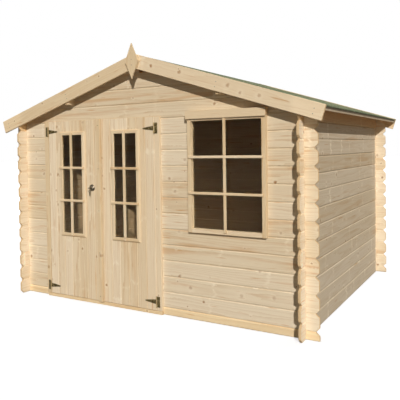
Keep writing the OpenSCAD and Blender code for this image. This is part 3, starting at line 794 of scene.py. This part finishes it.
def roof_pieces(trim, rough, packing_painted_shade, lath):
    """The planks of both slopes, the eave strips, the barge boards, the kite board and the purlins."""
    for side, name in ((-1, "left"), (1, "right")):
        down = Vector((side * math.cos(PITCH), 0, -math.sin(PITCH)))
        up = Vector((side * math.sin(PITCH), 0, math.cos(PITCH)))
        timber = Timber(30 + side)
        wide = 2 * ROOF_Y / ROOF_PLANKS
        spot = place((0, 0, RIDGE_Z), down, Y * side)
        for k in range(ROOF_PLANKS):
            y0 = -ROOF_Y + k * wide
            timber.board([(0, y0), (ROOF_LEN, y0), (ROOF_LEN, y0 + wide), (0, y0 + wide)], spot, ROOF_T,
                         chamfer(3 * MM))
        piece("roof_planks_" + name, timber.mesh, rough, "shed", ["roof_boards_" + name])

        # A pale lath along the eave, and over it a packing strip that stands back, painted dark: painted
        # shade under the edge of the felt
        foot = ROOF_T - EAVE_STRIP_H
        for form, out, u0, u1, wood in (
                ("lath", BARGE_LEN, foot, foot + LATH_H, lath),
                ("packing", BARGE_LEN - PACKING_BACK, foot + LATH_H, ROOF_T, packing_painted_shade)):
            timber = Timber(34 + side)
            section = [tuple(roof_point(r, u, side)) for r, u in
                       ((ROOF_LEN, u0), (out, u0), (out, u1), (ROOF_LEN, u1))]
            timber.board(section, place((0, ROOF_Y, 0), X, Z), 2 * ROOF_Y, rounded(1.5 * MM), BY_SECTION)
            piece("eave_" + form + "_" + name, timber.mesh, wood, "shed",
                  ["eave_strip_" + name])

        foot = BARGE_UP - BARGE_H
        outline = [(-foot * RISE, foot), (BARGE_LEN, foot), (BARGE_LEN, BARGE_UP),
                   (-BARGE_UP * RISE, BARGE_UP)]
        for end, y0, y1 in (("front", -BARGE_Y, -ROOF_Y), ("rear", ROOF_Y, BARGE_Y)):
            timber = Timber(40 + side + int(y0 > 0) * 4)
            back = y1 if side > 0 else y0
            timber.board(outline, place((0, back, RIDGE_Z), down, up), BARGE_T, rounded(2 * MM))
            node = end + "_barge_" + name
            piece(node + "_board", timber.mesh, trim, "shed", [node])

    # The kite board, and a backing of the same outline behind it, cut to the barge boards
    low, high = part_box("front_finial")
    timber = Timber(50)
    kite = [(high.z, 0), (KITE_Z, high.x), (low.z, 0), (KITE_Z, low.x)]
    timber.board(kite, place((0, low.y, 0), Z, X), KITE_T, rounded(0.8 * MM))
    fall = high.x * RISE
    cuts = []
    for tip, line in ((high.z, BARGE_UP), (low.z, BARGE_UP - BARGE_H)):
        level = RIDGE_Z + line / math.cos(PITCH)
        share = (level - fall - KITE_Z) / (tip - KITE_Z - fall)
        z, x = KITE_Z + share * (tip - KITE_Z), high.x * (1 - share)
        cuts.append([(z, x), (level, 0), (z, -x)])
    backing = [(KITE_Z, high.x)] + cuts[0] + [(KITE_Z, low.x)] + cuts[1][::-1]
    timber.board(backing, place((0, low.y + KITE_T, 0), Z, X), high.y - low.y - KITE_T,
                 rounded(0.8 * MM))
    piece("kite_board", timber.mesh, trim, "shed", ["front_finial"])

    for name, x, seed in (("ridge_purlin", 0.0, 51), ("left_purlin", -PURLIN_X, 52),
                          ("right_purlin", PURLIN_X, 53)):
        foot = under_roof(x) - PURLIN_H
        x0, x1 = x - PURLIN_W / 2, x + PURLIN_W / 2
        top = [(x1, under_roof(x1)), (x0, under_roof(x0))]
        length = 2 * ROOF_Y
        if not x:
            top.insert(1, (0.0, RIDGE_Z))
            length -= RIDGE_PURLIN_BACK
        timber = Timber(seed)
        timber.board([(x0, foot), (x1, foot)] + top, place((0, ROOF_Y, 0), X, Z), length,
                     rounded(2 * MM), BY_SECTION)
        piece(name + "_beam", timber.mesh, trim, "shed", [name])


def felt_sheet(mesh, path, thick, y0, y1, rows=36):
    """A sheet of felt along a path of points in x and z, from y0 to y1, with slight waves."""
    count = len(path)
    faces = []
    for lift in (0.0, thick):
        grid = []
        for i, point in enumerate(path):
            run = (path[min(i + 1, count - 1)] - path[max(i - 1, 0)]).normalized()
            out = Vector((-run.y, run.x))
            if out.y < -0.2:
                out = -out
            line = []
            for k in range(rows + 1):
                y = y0 + (y1 - y0) * k / rows
                swell = noise.noise(Vector((point.x * 5, y * 5, point.y * 5))) + 1
                wave = 0.5 * MM * swell if lift else 0
                spot = point + out * (lift + wave)
                line.append(mesh.verts.new((spot.x, y, spot.y)))
            grid.append(line)
        faces.append(grid)
    low, high = faces
    for i in range(count - 1):
        for k in range(rows):
            mesh.faces.new((high[i][k], high[i][k + 1], high[i + 1][k + 1], high[i + 1][k]))
            mesh.faces.new((low[i][k], low[i + 1][k], low[i + 1][k + 1], low[i][k + 1]))
        for k in (0, rows):
            mesh.faces.new((low[i][k], high[i][k], high[i + 1][k], low[i + 1][k]))
    for i in (0, count - 1):
        for k in range(rows):
            mesh.faces.new((low[i][k], low[i][k + 1], high[i][k + 1], high[i][k]))


def felt_pieces(felt, galvanised):
    """Two sheets a slope, the upper one over the lower, a cap over the ridge, and clout nails."""
    lap_from, lap_to = 820 * MM, 900 * MM
    base = ROOF_T + 0.1 * MM
    edge = ROOF_Y - FIT
    for side, name in ((-1, "left"), (1, "right")):
        mesh = bmesh.new()

        def slope_path(stops):
            return [roof_point(r, u, side) for r, u in stops]

        steps = 14
        lower = [(lap_from + (BARGE_LEN - lap_from) * k / steps, base) for k in range(steps + 1)]
        lower += [(BARGE_LEN + 0.2 * MM, base - 2 * MM), (BARGE_LEN + 0.2 * MM, ROOF_T - FELT_DROP)]
        felt_sheet(mesh, slope_path(lower), FELT_T, -edge, edge)
        upper = [(lap_to * k / steps, base + (FELT_T + 0.7 * MM if k > steps * 0.88 else 0.05 * MM))
                 for k in range(steps + 1)]
        felt_sheet(mesh, slope_path(upper), FELT_T, -edge, edge)
        piece("felt_sheets_" + name, mesh, [felt], "shed", ["roof_felt_" + name], 40)

    mesh = bmesh.new()
    cap = 160 * MM
    lift = base + 2.9 * MM
    path = [roof_point(cap * k / 4, lift, -1) for k in range(4, 0, -1)]
    path += [Vector((0, RIDGE_Z + lift / math.cos(PITCH)))]
    path += [roof_point(cap * k / 4, lift, 1) for k in range(1, 5)]
    felt_sheet(mesh, path, FELT_T, -edge, edge)
    piece("felt_ridge_cap", mesh, [felt], "shed", (), 40)

    # Nails in rows along the ridge cap, the lap and the eave, and down both gable edges
    mesh = bmesh.new()
    row_end, gable_row = edge - 40 * MM, edge - 20 * MM
    gable_nails, first, apart = 16, 220 * MM, 96 * MM
    for side in (-1, 1):
        out = Vector((side * math.sin(PITCH), 0, math.cos(PITCH)))
        for run, up, count in ((cap - 22 * MM, lift + 2.6 * MM, 34),
                               (lap_to - 25 * MM, base + 5.2 * MM, 34),
                               (BARGE_LEN - 30 * MM, base + 2.9 * MM, 26)):
            flat = roof_point(run, up, side)
            for k in range(count):
                y = row_end * (2 * k / (count - 1) - 1)
                nail(mesh, Vector((flat.x, y, flat.y)), out, CLOUT_R)
        for y in (-gable_row, gable_row):
            for k in range(gable_nails):
                run = first + k * apart
                flat = roof_point(run, base + (2.9 if run > lap_to else 3.0) * MM, side)
                nail(mesh, Vector((flat.x, y, flat.y)), out, CLOUT_R)
    piece("clout_nails", mesh, [galvanised], "shed", (), 40)


def floor_pieces(wood):
    """Floor boards from front to rear, on bearers from side to side."""
    low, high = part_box("floor")
    timber = Timber(60)
    wide = (high.x - low.x) / FLOOR_BOARDS
    for k in range(FLOOR_BOARDS):
        x0 = low.x + k * wide
        timber.stick(x0, x0 + wide, low.y, high.y, low.z, high.z, "y", chamfer(1.2 * MM))
    piece("floor_boards", timber.mesh, wood, "shed", ["floor"])

    low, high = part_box("floor_bearers")
    timber = Timber(61)
    for k in range(BEARERS):
        y0 = low.y + (high.y - low.y - BEARER_W) * k / (BEARERS - 1)
        timber.stick(low.x, high.x, y0, y0 + BEARER_W, low.z, high.z, "x", rounded(2 * MM))
    piece("bearers", timber.mesh, wood, "shed", ["floor_bearers"])


# Doors

def post_pieces(trim):
    """Two door posts, each of a face board, a web in the wall and a stop inside."""
    for name, side, seed in (("door_post_left", 1, 70), ("door_post_right", -1, 71)):
        low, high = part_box(name)
        edge = high.x - POST_STOP if side > 0 else low.x + POST_STOP
        timber = Timber(seed)

        def across(a, b):
            return sorted((edge + side * a, edge + side * b))

        timber.stick(*across(-POST_W, 0), low.y, -HALF_Y, low.z, high.z, "z", rounded(2 * MM))
        timber.stick(*across(-POST_WEB, POST_STOP), -HALF_Y, -IN_Y, SILL_H, HEAD_Z, "z",
                     rounded(1 * MM))
        timber.stick(*across(-POST_W, POST_STOP), -IN_Y + FIT, high.y, SILL_H, HEAD_Z, "z",
                     rounded(2 * MM))
        piece(name + "_boards", timber.mesh, trim, "shed", [name])


def threshold_piece(wood):
    """A batten along the foot of the sill board, in front of it and under the leaves."""
    left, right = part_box("door_post_left"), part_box("door_post_right")
    thick, room = 22 * MM, 6 * MM
    timber = Timber(72)
    timber.stick(left[0].x, right[1].x, -HALF_Y - thick, -HALF_Y - FIT, 0, left[0].z - room, "x",
                 rounded(2 * MM))
    piece("threshold_batten", timber.mesh, wood, "shed", ())


def glazing_bars(timber, x0, x1, z0, z1, lap, y0, y1, foot, head):
    """Two level bars that lap over the frame, and an upright bar in three lengths between them, which
    runs past the opening by foot and head."""
    half = BAR_W / 2
    mid = (x0 + x1) / 2
    starts, ends = [z0 - foot], []
    for share in (1, 2):
        z = z0 + (z1 - z0) * share / 3
        timber.stick(x0 - lap, x1 + lap, y0, y1, z - half, z + half, "x", rounded(4 * MM))
        ends.append(z - half)
        starts.append(z + half)
    ends.append(z1 + head)
    for low, high in zip(starts, ends):
        timber.stick(mid - half, mid + half, y0, y1, low, high, "z", rounded(2 * MM))


def door_pieces(boards, trim, steel):
    """Two leaves of upright boards on ledges, each with a glazed sash, and a strip where they meet."""
    for name, count, seed in (("left_door", 7, 80), ("right_door", 6, 90)):
        low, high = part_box(name + "_leaf")
        frame_low, frame_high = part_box(name + "_window_frame")
        opening = (frame_low.x + SASH_W, frame_high.x - SASH_W,
                   frame_low.z + SASH_W, frame_high.z - SASH_W)
        hole_x0, hole_x1 = opening[0] - LEAF_HOLE_RUN, opening[1] + LEAF_HOLE_RUN
        hole_z0, hole_z1 = opening[2] - LEAF_HOLE_RUN, opening[3] + LEAF_HOLE_RUN
        spot = place((0, low.y, 0), Z, X)
        thick = high.y - low.y
        timber = Timber(seed)
        wide = (high.x - low.x) / count
        for k in range(count):
            v0, v1 = low.x + k * wide, low.x + (k + 1) * wide
            stretches = [(low.z, high.z)]
            cuts_low, cuts_high = [], []
            if v0 >= hole_x0 and v1 <= hole_x1:
                stretches = [(low.z, hole_z0), (hole_z1, high.z)]
            elif v0 < hole_x0 < v1:
                cuts_high = [(hole_z0, hole_z1, v1 - hole_x0)]
            elif v0 < hole_x1 < v1:
                cuts_low = [(hole_z0, hole_z1, hole_x1 - v0)]
            for a, b in stretches:
                timber.board(stretch_outline(a, b, v0, v1, low_cuts=cuts_low, high_cuts=cuts_high), spot,
                             thick, tongued(6 * MM))
        piece(name + "_matchboards", timber.mesh, boards, name, [name + "_leaf"])

        timber = Timber(seed + 1)
        face, seat = frame_low.y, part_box(name + "_glass")[0].y
        timber.frame(*opening, [(0, face + 1.5 * MM), (1.5 * MM, face), (SASH_W - 11 * MM, face),
                                (SASH_W - 1 * MM, face + 7 * MM), (SASH_W, face + 8.5 * MM),
                                (SASH_W, low.y), (SASH_LAP, low.y), (SASH_LAP, seat), (0, seat)])
        back = frame_high.y
        timber.frame(*opening, [(LEAF_HOLE_RUN, high.y), (SASH_W, high.y), (SASH_W, back - 2 * MM),
                                (SASH_W - 2 * MM, back), (LEAF_HOLE_RUN + 2 * MM, back),
                                (LEAF_HOLE_RUN, back - 2 * MM)])
        glazing_bars(timber, *opening, lap=30 * MM, y0=face - 17 * MM, y1=face, foot=22 * MM,
                     head=22 * MM)
        piece(name + "_sash", timber.mesh, trim, name, [name + "_window_frame"])

        timber = Timber(seed + 2)
        heads = bmesh.new()
        ledge_low, ledge_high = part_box(name + "_ledges")
        stack = sorted({round(v.co.z, 5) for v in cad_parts[name + "_ledges"].data.vertices})
        for z0, z1 in zip(stack[::2], stack[1::2]):
            timber.stick(ledge_low.x, ledge_high.x, ledge_low.y, ledge_high.y, z0, z1, "x",
                         chamfer(6 * MM))
            for k in range(count):
                x = low.x + (k + 0.5) * wide
                if ledge_low.x + 10 * MM < x < ledge_high.x - 10 * MM:
                    for z in (z0 + 0.28 * (z1 - z0), z0 + 0.72 * (z1 - z0)):
                        screw(heads, Vector((x, ledge_high.y, z)), Y, 3.8 * MM)
        piece(name + "_ledge_boards", timber.mesh, boards, name, [name + "_ledges"])
        piece(name + "_ledge_screws", heads, [steel], name, (), 40)

    low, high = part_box("meeting_strip")
    timber = Timber(99)
    timber.stick(low.x, high.x, low.y, high.y, low.z, high.z, "z", rounded(3 * MM))
    piece("meeting_strip_board", timber.mesh, trim, "left_door", ["meeting_strip"])
    heads = bmesh.new()
    for share in (0.03, 0.27, 0.5, 0.73, 0.965):
        nail(heads, Vector(((low.x + high.x) / 2, low.y, low.z + share * (high.z - low.z))), -Y)
    piece("meeting_strip_nails", heads, [steel], "left_door", (), 40)


def hinge_middles(name, side):
    """The x of the pins of a leaf's tee hinges, and the middle heights of the two."""
    low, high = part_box(name + "_hinge_flanges")
    axis = low.x + FLANGE_W if side > 0 else high.x - FLANGE_W
    return axis, (low.z + FLANGE_H / 2, high.z - FLANGE_H / 2)


def hinge_screws(finish):
    """Three screws in each flange and in each strap of the tee hinges."""
    flange_run, flange_step = 20 * MM, 35 * MM
    strap_runs = (26 * MM, 58 * MM, 94 * MM)
    for side, name in ((1, "left"), (-1, "right")):
        axis, heights = hinge_middles(name, side)
        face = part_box(name + "_hinge_straps")[1].y - HINGE_T
        on_post, on_leaf = bmesh.new(), bmesh.new()
        for z in heights:
            for step in (-flange_step, 0.0, flange_step):
                screw(on_post, Vector((axis - side * flange_run, face, z + step)), -Y)
            for run in strap_runs:
                screw(on_leaf, Vector((axis + side * run, face, z)), -Y)
        piece(name + "_flange_screws", on_post, [finish], "shed", (), 40)
        piece(name + "_strap_screws", on_leaf, [finish], name + "_door", (), 40)


def hinge_barrels(finish):
    """Rolled knuckles round the pins of the tee hinges, with a domed pin head at both ends."""
    r, lip, roll = KNUCKLE_R + 0.2 * MM, 0.5 * MM, 0.6 * MM
    foot, tip = STRAP_H / 2 + 1 * MM, FLANGE_H / 2
    half = STRAP_H / 2 - 0.1 * MM

    def knuckle(a, b):
        return [(0, a), (r - lip, a), (r, a + roll), (r, b - roll), (r - lip, b)]

    pin_head = [(3.4 * MM, tip), (3 * MM, tip + 1.7 * MM), (1.6 * MM, tip + 2.7 * MM),
                (0, tip + 2.9 * MM)]
    for side, name in ((1, "left"), (-1, "right")):
        axis, heights = hinge_middles(name, side)
        pin_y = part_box(name + "_hinge_flanges")[0].y + KNUCKLE_R
        on_post, on_leaf = bmesh.new(), bmesh.new()
        for z in heights:
            pin = Vector((axis, pin_y, z))
            for turn in (1, -1):
                turned(on_post, knuckle(foot, tip) + pin_head, place(pin, X, Y * turn))
            turned(on_leaf, knuckle(-half, half) + [(0, half)], place(pin, X, Y))
        piece(name + "_post_knuckles", on_post, [finish], "shed", (), 35)
        piece(name + "_leaf_knuckles", on_leaf, [finish], name + "_door", (), 35)


def key_blank(mesh, spot, length):
    """A flat key: a round bow with a hole, a neck and a blade with cut teeth."""
    thick = 2.4 * MM
    bow, hole, sides = 11 * MM, 4 * MM, 24
    rings = [ring_of(mesh, spot, [radius] * sides, depth) for radius, depth in
             ((hole, -thick / 2), (bow, -thick / 2), (bow, thick / 2), (hole, thick / 2))]
    join_rings(mesh, rings + rings[:1])
    blade = [(4 * MM, -bow + 1 * MM), (4 * MM, -length * 0.45), (2.4 * MM, -length * 0.52),
             (3.8 * MM, -length * 0.6), (2.0 * MM, -length * 0.68), (3.6 * MM, -length * 0.78),
             (2.2 * MM, -length * 0.86), (0.5 * MM, -length), (-3.8 * MM, -length * 0.9),
             (-4 * MM, -bow + 1 * MM)]
    front, back = ([mesh.verts.new(spot @ Vector((x, y, depth))) for x, y in blade]
                   for depth in (0.4 * thick, -0.4 * thick))
    mesh.faces.new(front)
    mesh.faces.new(back[::-1])
    join_rings(mesh, [front, back])


def lock_pieces(rose, nickel):
    """A round lock on the left leaf, a key in it, and a second key that hangs from its ring."""
    low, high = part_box("door_lock")
    centre = Vector(((low.x + high.x) / 2, high.y, (low.z + high.z) / 2))
    face = place(centre, X, Z)
    mesh = bmesh.new()
    dome = [(0, 0), (33, 0), (33, 1.5), (31.5, 4), (28, 7.6), (23, 11), (19.5, 12.5), (18, 12.8),
            (17.4, 11.6), (16.6, 11.6), (16.2, 13), (16, 17), (15, 18), (9, 18), (8.6, 17), (0, 17)]
    turned(mesh, [(radius * MM, height * MM) for radius, height in dome], face, 48)
    piece("lock_rose", mesh, [rose], "left_door", ["door_lock"], 35)

    mesh = bmesh.new()
    bow = centre + Vector((0, -30 * MM, 0))
    key_blank(mesh, place(bow, Z, Y), 30 * MM)
    ring_at = bow + Vector((0, -4 * MM, -14 * MM))
    hoop, wire, turns, sides = 12 * MM, 0.9 * MM, 32, 8
    rows = []
    for k in range(turns):
        a = 2 * math.pi * k / turns
        out = Vector((math.cos(a), 0, math.sin(a)))
        rows.append([mesh.verts.new(ring_at + out * (hoop + wire * math.cos(b)) + Y * wire * math.sin(b))
                     for b in (2 * math.pi * m / sides for m in range(sides))])
    join_rings(mesh, rows + rows[:1])
    hang = place(ring_at + Vector((0, 0, -19 * MM)), (X * 0.94 + Y * 0.34).normalized(), Z)
    key_blank(mesh, hang, 44 * MM)
    piece("keys", mesh, [nickel], "left_door", (), 35)


# Window

def window_pieces(trim):
    """The window frame with its bars, proud of the wall and through it, and the drip board."""
    low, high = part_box("window_frame")
    timber = Timber(110)
    x0, x1, z0, z1 = low.x, high.x, low.z, high.z
    front = low.y
    for a, b in ((x0, x0 + FRAME_W), (x1 - FRAME_W, x1)):
        timber.stick(a, b, front, -HALF_Y, z0, z1, "z", rounded(2 * MM))
    for a, b in ((z0, z0 + FRAME_W), (z1 - FRAME_W, z1)):
        timber.stick(x0 + FRAME_W, x1 - FRAME_W, front, -HALF_Y, a, b, "x", rounded(2 * MM))
    lap = FRAME_LAP + FIT
    inner = (x0 + FRAME_W, x1 - FRAME_W, z0 + FRAME_W, z1 - FRAME_W)
    for a, b in ((x0 + lap, inner[0]), (inner[1], x1 - lap)):
        timber.stick(a, b, -HALF_Y, high.y, z0 + lap / 2, z1, "z", rounded(1 * MM))
    for a, b in ((z0 + lap / 2, inner[2]), (inner[3], z1)):
        timber.stick(inner[0], inner[1], -HALF_Y, high.y, a, b, "x", rounded(1 * MM))
    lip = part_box("drip_board")[0].z + LIP_LIFT
    glazing_bars(timber, *inner, lap=18 * MM, y0=front - 15 * MM, y1=front, foot=18 * MM,
                 head=lip - inner[3] - 1 * MM)
    piece("window_casement", timber.mesh, trim, "shed", ["window_frame"])

    low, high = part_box("drip_board")
    timber = Timber(111)
    lip_y = front - 5 * MM
    head = low.z + DRIP_LIP_H
    section = [(high.y, head), (high.y, high.z), (low.y, high.z - DRIP_FALL), (low.y, lip), (lip_y, lip),
               (lip_y, head)]
    timber.board(section, place((low.x, 0, 0), Y, Z), high.x - low.x, rounded(1.5 * MM), BY_SECTION)
    piece("drip_moulding", timber.mesh, trim, "shed", ["drip_board"])


def trim_nails(finish):
    """Nails in the barge boards over each purlin, at their feet, and in the kite board."""
    mesh = bmesh.new()
    for side in (-1, 1):
        for y, out in ((-BARGE_Y, -Y), (BARGE_Y, Y)):
            for run in (PURLIN_X / math.cos(PITCH), ROOF_LEN - 60 * MM):
                for up in (-62 * MM, -22 * MM):
                    flat = roof_point(run, up, side)
                    nail(mesh, Vector((flat.x, y, flat.y)), out)
    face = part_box("front_finial")[0].y
    for z in (KITE_Z + 14 * MM, KITE_Z - 34 * MM):
        nail(mesh, Vector((0, face, z)), -Y)
    piece("trim_nails", mesh, [finish], "shed", (), 40)


# The shed

photo_camera()
daylight()
studio_floor()

# Cut ends of boards: pale and dry, and darker on the roof boards under the felt: painted shade
end_wood = sawn_end("sawn_spruce_end", "#E6D0AC", "#C9A272")
dull_end_painted_shade = sawn_end("sawn_spruce_end_painted_shade", "#B89C74", "#94754E")
# Planed wall boards: pale and matt. The side walls are greyer and darker: painted shade. The top
# board of each side wall is warmer and more orange: painted warm shade close under the eaves
wall_wood = spruce("planed_spruce_wall", "#E9DDC8", "#CCB391", "#CB9C68", "#9C7040", "#F6ECDA",
                   0.5, 0.45, 0.6, 0.5 * MM, 1.12)
# Side walls: the same spruce painted greyer and darker, as painted shade
side_wood_painted_shade = spruce("planed_spruce_side_painted_shade", "#D3C8B7", "#BAA483", "#B99362", "#90683A", "#F4ECDC",
                   0.5, 0.4, 0.6, 0.5 * MM, 1.55)
# Top board of each side wall: warmer and more orange, as painted warm shade under the eave
eave_wood_painted_shade = spruce("spruce_side_painted_eave_shade", "#DABC8F", "#C19A65", "#C08A4B", "#8A5A2C", "#ECD8B0",
                   0.5, 0.4, 0.6, 0.5 * MM, 1.4)
# Sill board and threshold: the yellowest of the planed boards
sill_wood = spruce("yellow_spruce_sill", "#F9E6C4", "#E4C69A", "#DAAC72", "#A87844", "#FAEBD0",
                   0.5, 0.4, 0.6, 0.5 * MM)
# Doors and trim: planed finer, so they are a little smoother, with clear rings on the doors
door_wood = spruce("planed_spruce_door", "#F1E3CC", "#D0B28B", "#D0A56E", "#AC7E48", "#FAF0DC",
                   0.62, 0.45, 0.58, 0.5 * MM)
trim_wood = spruce("planed_spruce_trim", "#EBDABE", "#D6BA94", "#CEA470", "#A87A44", "#F4EAD6",
                   0.45, 0.35, 0.58, 0.5 * MM)
# Eave strips: greyish spruce, pale on the lath, and dark on the packing: painted shade under the edge
# of the felt
grey_wood_painted_shade = spruce("spruce_packing_painted_shade", "#776C5E", "#5E5348", "#58493A", "#463A2E", "#857B6C",
                   0.6, 0.5, 0.75, 0.7 * MM)
lath_wood = spruce("greyed_spruce_lath", "#D2C4AE", "#AE9C84", "#8E7860", "#6A5744", "#DCD2C0",
                   0.6, 0.6, 0.7, 0.6 * MM)
# Roof boards: sawn and not planed, rough, and orange: partly their own colour and partly painted warm
# shade, for their undersides under the eaves
rough_wood_painted_warm_shade = spruce("sawn_spruce", "#F0B870", "#D0904E", "#C67E40", "#7E5230", "#F0CE94",
                    0.6, 0.5, 0.75, 0.9 * MM)
# Floor: dark brown, as painted shade in the closed room, which it also darkens
floor_wood_painted_shade = spruce("brown_spruce_painted_shade", "#8A6F4A", "#6E5536", "#624A2C", "#46321E", "#98805C",
                    0.6, 0.5, 0.7, 0.7 * MM)
felt = mineral_felt()
pane = window_pane()
# Zinc on the hinges: yellow and dull on the plates, dark on the screws, and pale and bright on the
# knuckles: painted highlight
hinge_steel = plated("yellow_zinc_on_steel", "#6C6348", "#A89A70", 0.4, 0.6)
barrel_zinc_painted_glint = plated("pale_zinc_painted_glint", "#C2AC80", "#E6D6AE", 0.38, 0.45)
screw_steel = plated("screw_zinc_on_steel", "#5A543E", "#A89970", 0.35)
# Nickel on the lock and the keys: grey and softly bright
lock_nickel = plated("dull_nickel_on_brass", "#8C857A", "#D6D0C4", 0.3)
key_nickel = plated("nickel_on_brass", "#A29A8A", "#D8D2C4", 0.3)
# Nails: grey and matt from hot zinc
nail_zinc = plated("galvanised_steel", "#8B8D8C", "#B5B6B2", 0.5, 1.0, 10 * MM / 3)

wall_pieces([wall_wood, end_wood], [side_wood_painted_shade, end_wood, eave_wood_painted_shade], [sill_wood, end_wood])
roof_pieces([trim_wood, end_wood], [rough_wood_painted_warm_shade, dull_end_painted_shade], [grey_wood_painted_shade, end_wood], [lath_wood, end_wood])
felt_pieces(felt, nail_zinc)
floor_pieces([floor_wood_painted_shade, end_wood])
post_pieces([trim_wood, end_wood])
threshold_piece([sill_wood, end_wood])
door_pieces([door_wood, end_wood], [trim_wood, end_wood], screw_steel)
hinge_screws(screw_steel)
hinge_barrels(barrel_zinc_painted_glint)
lock_pieces(lock_nickel, key_nickel)
window_pieces([trim_wood, end_wood])
trim_nails(nail_zinc)

for node in ("left_door_glass", "right_door_glass", "window_glass"):
    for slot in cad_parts[node].material_slots:
        slot.material = pane
for node in ("left_hinge_flanges", "right_hinge_flanges", "left_hinge_straps", "right_hinge_straps"):
    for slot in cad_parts[node].material_slots:
        slot.material = hinge_steel
